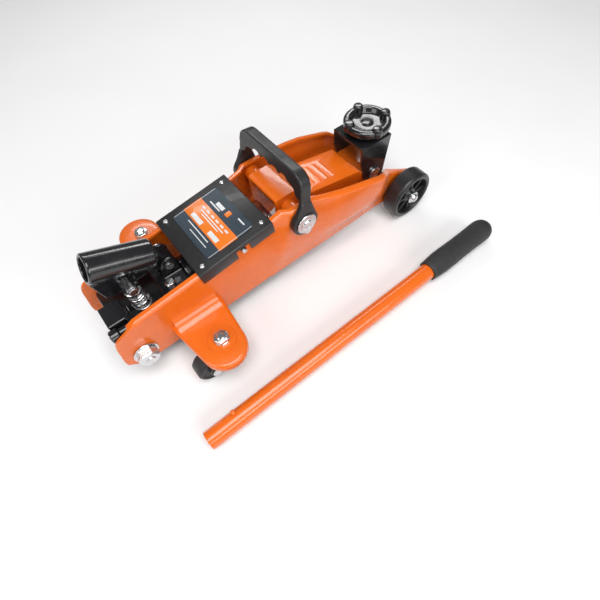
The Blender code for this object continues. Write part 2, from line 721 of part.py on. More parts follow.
def release_valve():
    profile = [(0, 33.5 * MM), (6.5 * MM, 33.5 * MM), (8 * MM, 32 * MM), (8 * MM, 24 * MM), (5.5 * MM, 22.5 * MM),
               (5.5 * MM, 9.5 * MM), (4 * MM, 9.4 * MM), (4 * MM, 0), (0, 0)]
    start = (-389.8 * MM, VALVE_Y, VALVE_Z)
    valve = add_part("release_valve", turned(profile, start, (-1, VALVE_Y, VALVE_Z), 20), "gloss_black", "valve")
    cut(valve, box((-430 * MM, VALVE_Y - 1.6 * MM, VALVE_Z - 9 * MM), (-420 * MM, VALVE_Y + 1.6 * MM, VALVE_Z + 9 * MM)))
    smooth(valve)


def ram():
    """Piston rod with the flat crosshead that pushes the arm's cross pin."""
    face = RAM_PIN_X - RAM_PIN_RADIUS - GAP
    low, high, half = 50 * MM, 93 * MM, 19 * MM
    corners = [(-half, low, 6 * MM), (half, low, 6 * MM), (half, high, 6 * MM), (-half, high, 6 * MM)]
    piston = add_part("ram_rod", rod(RAM_RADIUS, (RAM_BACK_X, 0, CYLINDER_Z), (face - 3 * MM, 0, CYLINDER_Z)),
                      "steel", "ram")
    weld(piston, prism(rounded(corners, 3), "YZ", face - 5 * MM, face))
    smooth(piston)


# ---------------------------------------------------------------- arm and saddle

def lift_arm():
    outline = rounded((
        (PIVOT_X - 16 * MM, ARM_TOP_Z, 3 * MM), (PIVOT_X + 15 * MM, ARM_TOP_Z, 9 * MM), (-152 * MM, 105 * MM, 12 * MM),
        (-64 * MM, 88.5 * MM, 5 * MM), (-57 * MM, 82 * MM, 0), (TIP_X + 12 * MM, TIP_Z + 12 * MM, 10.5 * MM),
        (TIP_X + 12 * MM, TIP_Z - 12 * MM, 10.5 * MM), (-60 * MM, 61 * MM, 0), (-150 * MM, 76 * MM, 20 * MM),
        (-172 * MM, RAM_PIN_Z - 12 * MM, 14 * MM), (RAM_PIN_X - 12 * MM, RAM_PIN_Z - 12 * MM, 11.8 * MM),
        (RAM_PIN_X - 12 * MM, 80 * MM, 5 * MM), (PIVOT_X - 16 * MM, 92 * MM, 5 * MM)), 4)
    arm = add_part("lift_arm", prism(outline, "XZ", -ARM_HALF, ARM_HALF), "orange", "arm")
    soften(arm, 1.5 * MM, 1, 60)
    inner = ARM_HALF - ARM_WALL
    roof = ARM_TOP_Z - ARM_WALL
    hollow = [(-215 * MM, roof), *arc((PIVOT_X + 8 * MM, roof - 6 * MM), 6 * MM, 90, 35, 3), (-155 * MM, 101.4 * MM),
              (-66 * MM, 84.6 * MM), (-66 * MM, 40 * MM), (-215 * MM, 40 * MM)]
    narrow = [(-70 * MM, 83.2 * MM), (-62 * MM, 81 * MM), (-55 * MM, 78.4 * MM), (-15 * MM, 78.4 * MM),
              (-15 * MM, 45 * MM), (-70 * MM, 45 * MM)]
    cut(arm, prism(hollow, "XZ", -inner, inner), prism(narrow, "XZ", 3.5 * MM - TONGUE_HALF, TONGUE_HALF - 3.5 * MM))
    shoulder = [(-59 * MM, 100 * MM), (-59 * MM, 76.5 * MM), (-81 * MM, 58.9 * MM), (-81 * MM, 45 * MM), (0, 45 * MM),
                (0, 100 * MM)]
    for _, side in SIDES:
        low, high = sorted((side * TONGUE_HALF, side * 40 * MM))
        cut(arm, prism(shoulder, "XZ", low, high))
    for i in range(4):
        x = -132 * MM + i * 11 * MM
        z = 104.4 * MM - (x + 152 * MM) * 0.1875 - 3.2 * MM
        rib = rod(2.6 * MM, (x, -16 * MM, z + 1.6 * MM), (x, 16 * MM, z + 1.6 * MM), 12)
        weld(arm, rib)
    cut(arm, cross_rod(PIVOT_RADIUS + GAP, PIVOT_X, PIVOT_Z, -40 * MM, 40 * MM),
        cross_rod(RAM_PIN_RADIUS + GAP, RAM_PIN_X, RAM_PIN_Z, -40 * MM, 40 * MM, 20),
        cross_rod(TIP_RADIUS + GAP, TIP_X, TIP_Z, -40 * MM, 40 * MM, 20))
    smooth(arm)
    symmetric_pin("ram_pin", RAM_PIN_X, RAM_PIN_Z, [(ARM_HALF, RAM_PIN_RADIUS)], "steel", "arm", 20)


def bracket_and_saddle():
    low_x, low_z = TIP_X + LINK_DX, TIP_Z + LINK_DZ
    outer = TONGUE_HALF + 0.5 * MM + BRACKET_WALL
    inner = outer - BRACKET_WALL
    outline = rounded((
        (-62 * MM, BRACKET_TOP_Z, 0), (-13 * MM, BRACKET_TOP_Z, 0), (-19.5 * MM, 56 * MM, 6 * MM),
        (low_x + 9.5 * MM, low_z - 9.5 * MM, 9 * MM), (low_x - 9.5 * MM, low_z - 9.5 * MM, 9 * MM),
        (-50 * MM, 60 * MM, 8 * MM), (-62 * MM, 96 * MM, 8 * MM)), 4)
    bracket = add_part("saddle_bracket", prism(outline, "XZ", -outer, outer), "gloss_black", "bracket")
    soften(bracket, 1.8 * MM, 1, 60)
    cut(bracket, box((-80 * MM, -inner, 20 * MM), (0, inner, BRACKET_TOP_Z - BRACKET_WALL)),
        rod(SADDLE_STEM + GAP, (SADDLE_X, 0, 100 * MM), (SADDLE_X, 0, 130 * MM)),
        cross_rod(TIP_RADIUS + GAP, TIP_X, TIP_Z, -40 * MM, 40 * MM, 20),
        cross_rod(LINK_PIN + GAP, low_x, low_z, -40 * MM, 40 * MM, 16))
    smooth(bracket)
    stations = [(outer + GAP, TIP_RADIUS), (outer + 3 * MM, 8.5 * MM)]
    symmetric_pin("bracket_pin", TIP_X, TIP_Z, stations, "zinc", "bracket")

    base = BRACKET_TOP_Z + GAP
    rim = SADDLE_Z - 3.2 * MM
    floor = rim - 6 * MM
    profile = [(0, floor + 0.6 * MM), (9 * MM, floor), (19 * MM, floor), (22.5 * MM, rim - 0.6 * MM),
               (SADDLE_RADIUS - 2.8 * MM, rim), (SADDLE_RADIUS, rim - 2.2 * MM), (SADDLE_RADIUS, rim - 8 * MM),
               (22 * MM, base), (SADDLE_STEM, base), (SADDLE_STEM, 108.5 * MM), (0, 108.5 * MM)]
    cup = turned(profile, (SADDLE_X, 0, 0), (SADDLE_X, 0, 1), 28)
    saddle = add_part("saddle", cup, "gloss_black", "saddle")
    for turn in (-15, 75, 165, 255):
        angle = math.radians(turn)
        reach = SADDLE_RADIUS - 4.2 * MM
        x, y = SADDLE_X + reach * math.cos(angle), reach * math.sin(angle)
        height = SADDLE_Z - LUG_FOOT_Z
        lug = [(0, height), (5.6 * MM, height), (7 * MM, height - 1.4 * MM), (7 * MM, 2 * MM), (5.6 * MM, 0), (0, 0)]
        weld(saddle, turned(lug, (x, y, LUG_FOOT_Z), (x, y, 1), 12))
    smooth(saddle)
    low, high = 110.4 * MM, 112.6 * MM
    ring = [(SADDLE_STEM + GAP, high), (13 * MM, high), (13 * MM, low), (SADDLE_STEM + GAP, low)]
    smooth(add_part("saddle_clip", turned(ring, (SADDLE_X, 0, 0), (SADDLE_X, 0, 1), 20), "zinc", "saddle"))


def radius_link(name, side):
    """Flat bar below and beside the arm that keeps the saddle level, with its two pins."""
    near = ARM_HALF + 0.8 * MM
    far = near + LINK_WALL
    rear = (PIVOT_X + LINK_DX, PIVOT_Z + LINK_DZ)
    front = (TIP_X + LINK_DX, TIP_Z + LINK_DZ)
    heading = math.degrees(math.atan2(front[1] - rear[1], front[0] - rear[0]))
    outline = [*arc(front, 7.5 * MM, heading - 90, heading + 90, 8),
               *arc(rear, 7.5 * MM, heading + 90, heading + 270, 8)]
    low, high = sorted((side * near, side * far))
    bar = add_part(f"radius_link_{name}", prism(outline, "XZ", low, high), "gloss_black", "links")
    cut(bar, *[cross_rod(LINK_PIN + GAP, x, z, -40 * MM, 40 * MM, 16) for x, z in (rear, front)])
    smooth(bar)
    web = MID_WEB_Y - SHEET
    rear_pin = [(LINK_PIN, MID_WEB_Y - near), (LINK_PIN, web - GAP - near), (8 * MM, web - GAP - near),
                (8 * MM, far + GAP - near), (LINK_PIN, far + GAP - near), (LINK_PIN, 0)]
    turned_pin(f"link_rear_pin_{name}", rear_pin, rear, side, near, "jack")
    front_pin = [(8 * MM, far + 2.5 * MM - 22 * MM), (8 * MM, far + GAP - 22 * MM), (LINK_PIN, far + GAP - 22 * MM),
                 (LINK_PIN, 0)]
    turned_pin(f"link_front_pin_{name}", front_pin, front, side, 22 * MM, "bracket")


def turned_pin(name, profile, place, side, start_y, body):
    outline = [(0, profile[0][1]), *profile, (0, profile[-1][1])]
    start = (place[0], side * start_y, place[1])
    end = (place[0], side, place[1])
    smooth(add_part(name, turned(outline, start, end, 16), "zinc", body))


# ---------------------------------------------------------------- pump handle socket

def socket_axis(distance):
    """Point on the socket's axis, measured from its open end."""
    return (SOCKET_OPEN_X + distance * math.cos(SOCKET_RISE), SOCKET_Y,
            SOCKET_OPEN_Z - distance * math.sin(SOCKET_RISE))


def handle_socket():
    open_end, closed_end = socket_axis(0), socket_axis(SOCKET_LENGTH)
    socket = add_part("handle_socket", rod(SOCKET_RADIUS, open_end, closed_end, 28), "gloss_black", "socket")
    soften(socket, 1.2 * MM, 1, 50)
    eye_outline = [(-356 * MM, 108 * MM), (-347 * MM, 92 * MM),
                   *arc((SOCKET_PIVOT_X, SOCKET_PIVOT_Z), SOCKET_EYE, 215, 395, 8), (-336 * MM, 112 * MM)]
    gusset_outline = rounded(((-409 * MM, 122 * MM, 0), (-404 * MM, 92 * MM, 4 * MM), (-392 * MM, 89 * MM, 4 * MM),
                              (-350 * MM, 95 * MM, 6 * MM), (-345 * MM, 110 * MM, 0)))
    weld(socket,
         prism(eye_outline, "XZ", SOCKET_Y - 9 * MM, SOCKET_Y + 9 * MM),
         prism(gusset_outline, "XZ", SOCKET_Y - 8.4 * MM, SOCKET_Y + 8.4 * MM))
    roller_x, roller_z = roller_place()
    cut(socket,
        rod(SOCKET_BORE, socket_axis(-9 * MM), socket_axis(SOCKET_LENGTH - 8 * MM), 28),
        cross_rod(SOCKET_PIN + GAP, SOCKET_PIVOT_X, SOCKET_PIVOT_Z, -20 * MM, 40 * MM, 20),
        cross_rod(ROLLER_PIN + GAP, roller_x, roller_z, -20 * MM, SOCKET_Y - 2 * MM, 14))
    smooth(socket)
    head = EAR_OUT + EAR_THICK - EAR_IN + MM
    pin = [(0, head + 2.8 * MM), (8 * MM, head + 2.8 * MM), (8 * MM, head + GAP), (SOCKET_PIN, head + GAP),
           (SOCKET_PIN, 0), (0, 0)]
    start = (SOCKET_PIVOT_X, SOCKET_Y + EAR_IN - MM, SOCKET_PIVOT_Z)
    smooth(add_part("socket_pin", turned(pin, start, (start[0], 1, start[2]), 20), "zinc", "jack"))


def roller_place():
    """Middle of the roller, resting on the plunger's cap."""
    return PLUNGER_X, PLUNGER_TOP_Z + GAP + ROLLER_RADIUS


def roller():
    x, z = roller_place()
    bore = ROLLER_PIN + GAP
    ring = [(bore, 18 * MM), (ROLLER_RADIUS, 18 * MM), (ROLLER_RADIUS, 0), (bore, 0)]
    place = (x, -18 * MM, z)
    smooth(add_part("pump_roller", turned(ring, place, (x, 1, z), 20), "steel", "roller"))
    pin = [(0, 27 * MM), (ROLLER_PIN, 27 * MM), (ROLLER_PIN, 1.8 * MM), (5 * MM, 1.8 * MM), (5 * MM, 0), (0, 0)]
    place = (x, -20.2 * MM, z)
    smooth(add_part("roller_pin", turned(pin, place, (x, 1, z), 16), "zinc", "socket"))


def plunger():
    length = PLUNGER_TOP_Z - 44 * MM
    profile = [(0, length), (8 * MM, length), (10 * MM, length - 1.5 * MM), (10 * MM, length - 4 * MM),
               (PLUNGER_RADIUS, length - 4 * MM), (PLUNGER_RADIUS, 0), (0, 0)]
    start = (PLUNGER_X, PLUNGER_Y, 44 * MM)
    smooth(add_part("pump_plunger", turned(profile, start, (PLUNGER_X, PLUNGER_Y, 1), 20), "steel", "plunger"))
    gland = [(PLUNGER_RADIUS + GAP, SPRING_FOOT_Z - BLOCK_TOP_Z), (11 * MM, SPRING_FOOT_Z - BLOCK_TOP_Z),
             (12 * MM, SPRING_FOOT_Z - BLOCK_TOP_Z - MM), (12 * MM, GAP), (PLUNGER_RADIUS + GAP, GAP)]
    start = (PLUNGER_X, PLUNGER_Y, BLOCK_TOP_Z)
    smooth(add_part("plunger_gland", turned(gland, start, (PLUNGER_X, PLUNGER_Y, 1), 20), "zinc", "jack"))


def plunger_spring():
    low = SPRING_FOOT_Z + SPRING_WIRE + GAP
    high = PLUNGER_TOP_Z - 4 * MM - SPRING_WIRE - GAP
    count = int(SPRING_TURNS * 11)
    points = []
    for i in range(count + 1):
        angle = 2 * math.pi * SPRING_TURNS * i / count
        points.append((PLUNGER_X + SPRING_RADIUS * math.cos(angle), PLUNGER_Y + SPRING_RADIUS * math.sin(angle),
                       low + (high - low) * i / count))
    smooth(add_part("plunger_spring", wire(points, SPRING_WIRE, 1), "steel", "plunger"), 60)


# ---------------------------------------------------------------- casters

def caster(name, side):
    x, y = CASTER_X, side * CASTER_Y
    axle_x = x - CASTER_TRAIL
    bore = KINGPIN_RADIUS + GAP
    race_low = 48.3 * MM
    race_high = LOBE_TOP_Z - SHEET - GAP
    race = [(bore, race_high - race_low), (14 * MM, race_high - race_low), (15.5 * MM, 0), (bore, 0)]
    smooth(add_part(f"caster_race_{name}", turned(race, (x, y, race_low), (x, y, 1), 20), "zinc", "jack"))

    top = race_low - GAP
    floor = top - 3 * MM
    legs = rounded(((x + 11 * MM, top, 0), (x + 11 * MM, top - 9 * MM, 4 * MM), (axle_x + 8 * MM, 12 * MM, 7.6 * MM),
                    (axle_x - 8 * MM, 12 * MM, 7.6 * MM), (axle_x - 8 * MM, 28 * MM, 6 * MM), (x - 12 * MM, top, 0)))
    fork = add_part(f"caster_fork_{name}", prism(legs, "XZ", y - 13.4 * MM, y + 13.4 * MM), "satin_black",
                    f"swivel_{name}")
    weld(fork, rod(15 * MM, (x, y, floor + 0.4 * MM), (x, y, top), 24))
    cut(fork, box((x - 60 * MM, y - 11.5 * MM, 0), (x + 30 * MM, y + 11.5 * MM, floor)),
        rod(bore, (x, y, 30 * MM), (x, y, 60 * MM), 20),
        cross_rod(4.3 * MM, axle_x, CASTER_WHEEL_RADIUS, y - 20 * MM, y + 20 * MM, 16))
    smooth(fork)

    reach = 15.8 * MM
    axle = [(0, 2 * reach), (6.5 * MM, 2 * reach), (6.5 * MM, 2 * reach - 2 * MM), (4 * MM, 2 * reach - 2 * MM),
            (4 * MM, 2 * MM), (6.5 * MM, 2 * MM), (6.5 * MM, 0), (0, 0)]
    start = (axle_x, y - reach, CASTER_WHEEL_RADIUS)
    smooth(add_part(f"caster_axle_{name}", turned(axle, start, (axle_x, 1, CASTER_WHEEL_RADIUS), 12), "zinc",
                    f"swivel_{name}"))
    half, radius = 10 * MM, CASTER_WHEEL_RADIUS
    tyre = [(4.3 * MM, 2 * half), (radius - 3 * MM, 2 * half), (radius, 2 * half - 2.5 * MM), (radius, 2.5 * MM),
            (radius - 3 * MM, 0), (4.3 * MM, 0)]
    start = (axle_x, y - half, radius)
    smooth(add_part(f"caster_wheel_{name}", turned(tyre, start, (axle_x, 1, radius), 24), "tyre_black",
                    f"caster_roll_{name}"))

    seat = LOBE_TOP_Z + 1.1 * MM + GAP
    nut = add_part(f"caster_nut_{name}", hexagon(18.2 * MM, (x, y, seat), (x, y, seat + 6.8 * MM), 1.2 * MM), "zinc",
                   "jack")
    cut(nut, rod(bore, (x, y, 50 * MM), (x, y, 70 * MM), 20))
    smooth(nut)
    base = floor - GAP - 3 * MM
    kingpin = [(0, 21.6 * MM), (3.6 * MM, 21.4 * MM), (KINGPIN_RADIUS, 20.4 * MM), (KINGPIN_RADIUS, 3 * MM),
               (9 * MM, 3 * MM), (9 * MM, 0), (0, 0)]
    smooth(add_part(f"caster_kingpin_{name}", turned(kingpin, (x, y, base), (x, y, 1), 20), "zinc", "jack"), 50)


# ---------------------------------------------------------------- carry handle

def handle_outline():
    """Front view of the bow: plain outside, four finger scallops under the grip."""
    face, inner = HANDLE_FACE_Y - 0.7 * MM, HANDLE_INNER_Y + 0.5 * MM
    foot = PIVOT_Z - 4 * MM
    outer = rounded(((-face, foot, 0), (-HANDLE_TOP_Y, HANDLE_TOP_Z, 17 * MM),
                     (HANDLE_TOP_Y, HANDLE_TOP_Z, 17 * MM), (face, foot, 0)), 6)
    low = HANDLE_TOP_Z - 19 * MM
    shoulder = HANDLE_TOP_Y - 11.5 * MM
    grip = 34 * MM
    bite = grip / 4
    scallops = []
    dip = 5.5 * MM
    edge = math.degrees(math.atan2(dip, bite)) + 4
    for i in range(4):
        middle = grip - bite * (2 * i + 1)
        scallops += arc((middle, low - dip), math.hypot(bite, dip), edge, 180 - edge, 3)
    inside = [(inner, foot), (inner, low - 13 * MM), *arc((shoulder - 8 * MM, low - 9 * MM), 9 * MM, 0, 60, 2),
              *scallops, *arc((8 * MM - shoulder, low - 9 * MM), 9 * MM, 120, 180, 2), (-inner, low - 13 * MM),
              (-inner, foot)]
    return outer + inside


def leaned(mesh):
    """Tip a handle mesh forwards about its pivot to where it stands against its stop."""
    lean = math.atan2(HANDLE_LEAN, HANDLE_TOP_Z - PIVOT_Z)
    pivot = Vector((PIVOT_X, 0, PIVOT_Z))
    mesh.transform(Matrix.Translation(pivot) @ Matrix.Rotation(lean, 4, "Y") @ Matrix.Translation(-pivot))
    return mesh


def carry_handle():
    half = 6.8 * MM
    bow = prism(handle_outline(), "YZ", PIVOT_X - half, PIVOT_X + half)
    handle = add_part("carry_handle", leaned(bow), "satin_black", "carry")
    soften(handle, 1.6 * MM, 1, 60)
    spread = HANDLE_BOSS * 0.92
    skirt = [(PIVOT_X - spread, PIVOT_Z + 5 * MM), (PIVOT_X + spread, PIVOT_Z + 5 * MM),
             (PIVOT_X + half, PIVOT_Z + 28 * MM), (PIVOT_X - half, PIVOT_Z + 28 * MM)]
    for _, side in SIDES:
        low, high = sorted((side * HANDLE_INNER_Y, side * HANDLE_FACE_Y))
        weld(handle, leaned(cross_rod(HANDLE_BOSS, PIVOT_X, PIVOT_Z, low, high, 28)),
             leaned(prism(skirt, "XZ", low + 1.1 * MM, high - 1.4 * MM)))
    for _, side in SIDES:
        low, high = sorted((side * 40 * MM, side * 80 * MM))
        cut(handle, leaned(cross_rod(5.3 * MM, PIVOT_X, PIVOT_Z, low, high, 20)))
    smooth(handle)


def handle_bolt(name, side):
    """Shoulder bolt with a broad round head, screwed into the end of the arm's shaft."""
    reach = HANDLE_FACE_Y - MID_WEB_Y
    profile = [(0, reach + 4.2 * MM), (5.6 * MM, reach + 4.2 * MM), (6.4 * MM, reach + 3.4 * MM),
               (6.6 * MM, reach + 2.3 * MM), (12.4 * MM, reach + 2.2 * MM), (13.2 * MM, reach + 1.4 * MM),
               (13.2 * MM, reach + GAP), (5 * MM, reach + GAP), (5 * MM, GAP), (0, GAP)]
    start = (PIVOT_X, side * MID_WEB_Y, PIVOT_Z)
    smooth(add_part(f"handle_bolt_{name}", turned(profile, start, (PIVOT_X, side, PIVOT_Z), 24), "zinc", "jack"))


# ---------------------------------------------------------------- pump lever

def lever_axis(distance):
    """Point on the lever's axis; it lies on its open end and on its thicker grip."""
    length = LEVER_END_X - LEVER_OPEN_X
    rise = (GRIP_RADIUS - LEVER_RADIUS) / length
    return (LEVER_OPEN_X + distance, LEVER_Y, LEVER_RADIUS + GAP + rise * distance)


def lever():
    length = LEVER_END_X - LEVER_OPEN_X
    grip_start = length - GRIP_LENGTH
    tube_end = length - 8 * MM
    bore, blind = LEVER_BORE, LEVER_BLIND
    tube = [(0, tube_end), (LEVER_RADIUS, tube_end), (LEVER_RADIUS, 0.8 * MM), (LEVER_RADIUS - 0.8 * MM, 0),
            (bore, 0), (bore, blind), (0, blind)]
    smooth(add_part("lever_tube", turned(tube, lever_axis(0), lever_axis(length), 28), "orange", "lever"))
    sleeve = LEVER_RADIUS + GAP
    depth, end = GRIP_LENGTH, GRIP_LENGTH - 8 * MM + GAP
    swell = [(0.45, depth), (0.78, depth - 2 * MM), (0.95, depth - 6 * MM), (1.0, depth - 12 * MM),
             (0.96, depth * 0.55), (0.9, 5 * MM), (0.84, 0)]
    grip = [(0, depth), *[(share * GRIP_RADIUS, distance) for share, distance in swell], (sleeve, 0), (sleeve, end),
            (0, end)]
    start = lever_axis(grip_start)
    smooth(add_part("lever_grip", turned(grip, start, lever_axis(length), 28), "grip_black", "lever"))
    x, y, z = lever_axis(38 * MM)
    button = turned([(0, 4 * MM), (2.4 * MM, 3.6 * MM), (3 * MM, 2.6 * MM), (3 * MM, 0), (0, 0)],
                    (0, 0, 0), (0, 0.45, 1), 14)
    button.transform(Matrix.Translation(Vector((x, y, z)) + Vector((0, 0.45, 1)).normalized() * (LEVER_RADIUS + GAP)))
    smooth(add_part("lever_button", button, "orange", "lever"), 50)


# ---------------------------------------------------------------- assembly

def body_places():
    """Each rigid body's joint axis point, in the jack's frame."""
    places = {
        "arm": (PIVOT_X, 0, PIVOT_Z),
        "ram": (RAM_BACK_X, 0, CYLINDER_Z),
        "bracket": (TIP_X, 0, TIP_Z),
        "saddle": (SADDLE_X, 0, BRACKET_TOP_Z),
        "links": (PIVOT_X + LINK_DX, 0, PIVOT_Z + LINK_DZ),
        "socket": (SOCKET_PIVOT_X, SOCKET_Y, SOCKET_PIVOT_Z),
        "roller": (roller_place()[0], PLUNGER_Y, roller_place()[1]),
        "plunger": (PLUNGER_X, PLUNGER_Y, PLUNGER_TOP_Z),
        "valve": (BLOCK_REAR_X, VALVE_Y, VALVE_Z),
        "carry": (PIVOT_X, 0, PIVOT_Z),
        "lever": lever_axis(0),
    }
    for name, side in SIDES:
        places[f"wheel_{name}"] = (0, side * WHEEL_FACE_Y, WHEEL_RADIUS)
        places[f"swivel_{name}"] = (CASTER_X, side * CASTER_Y, LOBE_TOP_Z)
        places[f"caster_roll_{name}"] = (CASTER_X - CASTER_TRAIL, side * CASTER_Y, CASTER_WHEEL_RADIUS)
    return places


def build():
    jack = body_empty("jack", (0, 0, 0))
    for name, place in body_places().items():
        body_empty(name, place)
    for name, side in SIDES:
        side_plate(name, side)
        front_wheel(name, side)
        axle_cap(name, side)
        rear_bolt(name, side)
        radius_link(name, side)
        caster(name, side)
        handle_bolt(name, side)
    front_axle()
    arm_shaft()
    cover()
    pump_block()
    cylinder_and_gland()
    filler_plug()
    release_valve()
    ram()
    lift_arm()
    bracket_and_saddle()
    handle_socket()
    roller()
    plunger()
    plunger_spring()
    carry_handle()
    lever()
    jack.location = (-ORIGIN_X, -ORIGIN_Y, 0)


clear_scene()
AXES = {}
PARTS = new_collection("trolley_jack")
CUTTERS = new_collection("cutters")
build()
bpy.context.view_layer.update()
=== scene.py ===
"""Hydraulic trolley jack with its loose pump lever, dressed and lit for a studio picture.

Metres, +X towards the saddle, +Y to the jack's left, +Z up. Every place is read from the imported
model, so each piece sits where its solid sits.
"""

import logging
import math
from dataclasses import dataclass
from enum import Enum
from typing import Iterable, Optional, Sequence

import bmesh
import bpy
from mathutils import Matrix, Vector


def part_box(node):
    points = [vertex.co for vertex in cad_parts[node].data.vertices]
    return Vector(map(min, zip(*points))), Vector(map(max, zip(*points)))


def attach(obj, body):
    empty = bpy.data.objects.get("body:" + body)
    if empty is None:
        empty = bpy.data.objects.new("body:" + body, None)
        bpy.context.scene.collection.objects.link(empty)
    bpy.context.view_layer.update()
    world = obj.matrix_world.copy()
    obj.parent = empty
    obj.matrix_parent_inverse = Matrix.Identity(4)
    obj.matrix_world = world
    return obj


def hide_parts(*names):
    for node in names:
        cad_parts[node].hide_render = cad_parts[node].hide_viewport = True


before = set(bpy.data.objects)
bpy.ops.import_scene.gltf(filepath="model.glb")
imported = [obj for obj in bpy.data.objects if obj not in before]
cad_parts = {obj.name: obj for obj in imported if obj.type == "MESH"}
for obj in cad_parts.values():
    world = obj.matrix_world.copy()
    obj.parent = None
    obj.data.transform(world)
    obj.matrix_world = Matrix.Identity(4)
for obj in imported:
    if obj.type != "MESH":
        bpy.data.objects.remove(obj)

LOG = logging.getLogger("trolley_jack")
MM = 0.001
WELD = 0.005 * MM                   # points of a solid this close are one
FLAT_ANGLE = math.radians(0.6)      # faces of a solid this level are one
Color = tuple[float, float, float]
Profile = list[tuple[float, float]]


class Side(Enum):
    """The two long sides of the jack."""

    LEFT = 1
    RIGHT = -1

    @property
    def word(self) -> str:
        """Lower-case name used in the pieces' names."""
        return self.name.lower()


# ---------------------------------------------------------------- finishes

class Board:
    """One material's node tree, with short calls for the nodes the finishes share."""

    def __init__(self, name: str) -> None:
        """Start a material.

        Args:
            name: the material's name.
        """
        self.material = bpy.data.materials.new(name)
        self.material.use_nodes = True
        self.tree = self.material.node_tree
        self.shader = self.tree.nodes["Principled BSDF"]
        self.place = self.tree.nodes.new("ShaderNodeTexCoord").outputs["Object"]

    def node(self, kind: str, inputs: Optional[dict] = None, **settings: object) -> bpy.types.Node:
        """Add a node.

        Args:
            kind: the node's class name.
            inputs: values or sockets, by input name or number.
            settings: attributes of the node.

        Returns:
            The new node.
        """
        made = self.tree.nodes.new(kind)
        for key, value in settings.items():
            setattr(made, key, value)
        for key, value in (inputs or {}).items():
            if isinstance(value, bpy.types.NodeSocket):
                self.tree.links.new(value, made.inputs[key])
            else:
                made.inputs[key].default_value = value
        return made

    def stretched(self, scale: tuple[float, float, float]) -> bpy.types.NodeSocket:
        """Object coordinates scaled along each axis, for grain that runs one way."""
        return self.node("ShaderNodeMapping", {"Vector": self.place, "Scale": scale}).outputs[0]

    def noise(self, scale: float, detail: float = 4.0, rough: float = 0.55,
              vector: Optional[bpy.types.NodeSocket] = None) -> bpy.types.NodeSocket:
        """Cloudy variation.

        Args:
            scale: repeats per metre.
            detail: octaves.
            rough: strength of the fine octaves.
            vector: coordinates, the object's own by default.

        Returns:
            The factor socket.
        """
        inputs = {"Vector": vector or self.place, "Scale": scale, "Detail": detail, "Roughness": rough}
        return self.node("ShaderNodeTexNoise", inputs).outputs["Fac"]

    def spots(self, scale: float, size: float) -> bpy.types.NodeSocket:
        """Sparse round spots, 1 inside and 0 outside.

        Args:
            scale: cells per metre.
            size: spot radius as a share of a cell.

        Returns:
            The mask socket.
        """
        cells = self.node("ShaderNodeTexVoronoi", {"Vector": self.place, "Scale": scale, "Randomness": 1.0})
        return self.span(cells.outputs["Distance"], size, size * 0.6, 0.0, 1.0)

    def span(self, value: bpy.types.NodeSocket, low: float, high: float, out_low: float,
             out_high: float) -> bpy.types.NodeSocket:
        """Clamped straight-line mapping of a value from low..high to out_low..out_high."""
        return self.node("ShaderNodeMapRange", {"Value": value, "From Min": low, "From Max": high,
                                                "To Min": out_low, "To Max": out_high}).outputs[0]

    def sum(self, first: bpy.types.NodeSocket, second: object,
            operation: str = "ADD") -> bpy.types.NodeSocket:
        """One maths node on two values."""
        return self.node("ShaderNodeMath", {0: first, 1: second}, operation=operation).outputs[0]

    def mix(self, factor: bpy.types.NodeSocket, first: object, second: object) -> bpy.types.NodeSocket:
        """Blend of two colours.

        Args:
            factor: 0 gives the first colour, 1 the second.
            first: a colour or a colour socket.
            second: a colour or a colour socket.

        Returns:
            The colour socket.
        """
        made = self.node("ShaderNodeMix", {"Factor": factor}, data_type="RGBA")
        for slot, value in ((6, first), (7, second)):
            if isinstance(value, bpy.types.NodeSocket):
                self.tree.links.new(value, made.inputs[slot])
            else:
                made.inputs[slot].default_value = (*value, 1.0)
        return made.outputs[2]

    def bump(self, height: bpy.types.NodeSocket, depth: float,
             below: Optional[bpy.types.NodeSocket] = None) -> bpy.types.NodeSocket:
        """Surface relief.

        Args:
            height: relief from 0 to 1.
            depth: its full depth, in metres.
            below: the normal of a coarser relief that it lies on.

        Returns:
            The normal socket.
        """
        inputs = {"Height": height, "Strength": 1.0, "Distance": depth}
        if below is not None:
            inputs["Normal"] = below
        return self.node("ShaderNodeBump", inputs).outputs[0]

    def set(self, **values: object) -> None:
        """Set or link the shader's inputs; underscores stand for spaces in their names."""
        for key, value in values.items():
            target = self.shader.inputs[key.replace("_", " ")]
            if isinstance(value, bpy.types.NodeSocket):
                self.tree.links.new(value, target)
            else:
                target.default_value = (*value, 1.0) if isinstance(value, tuple) else value


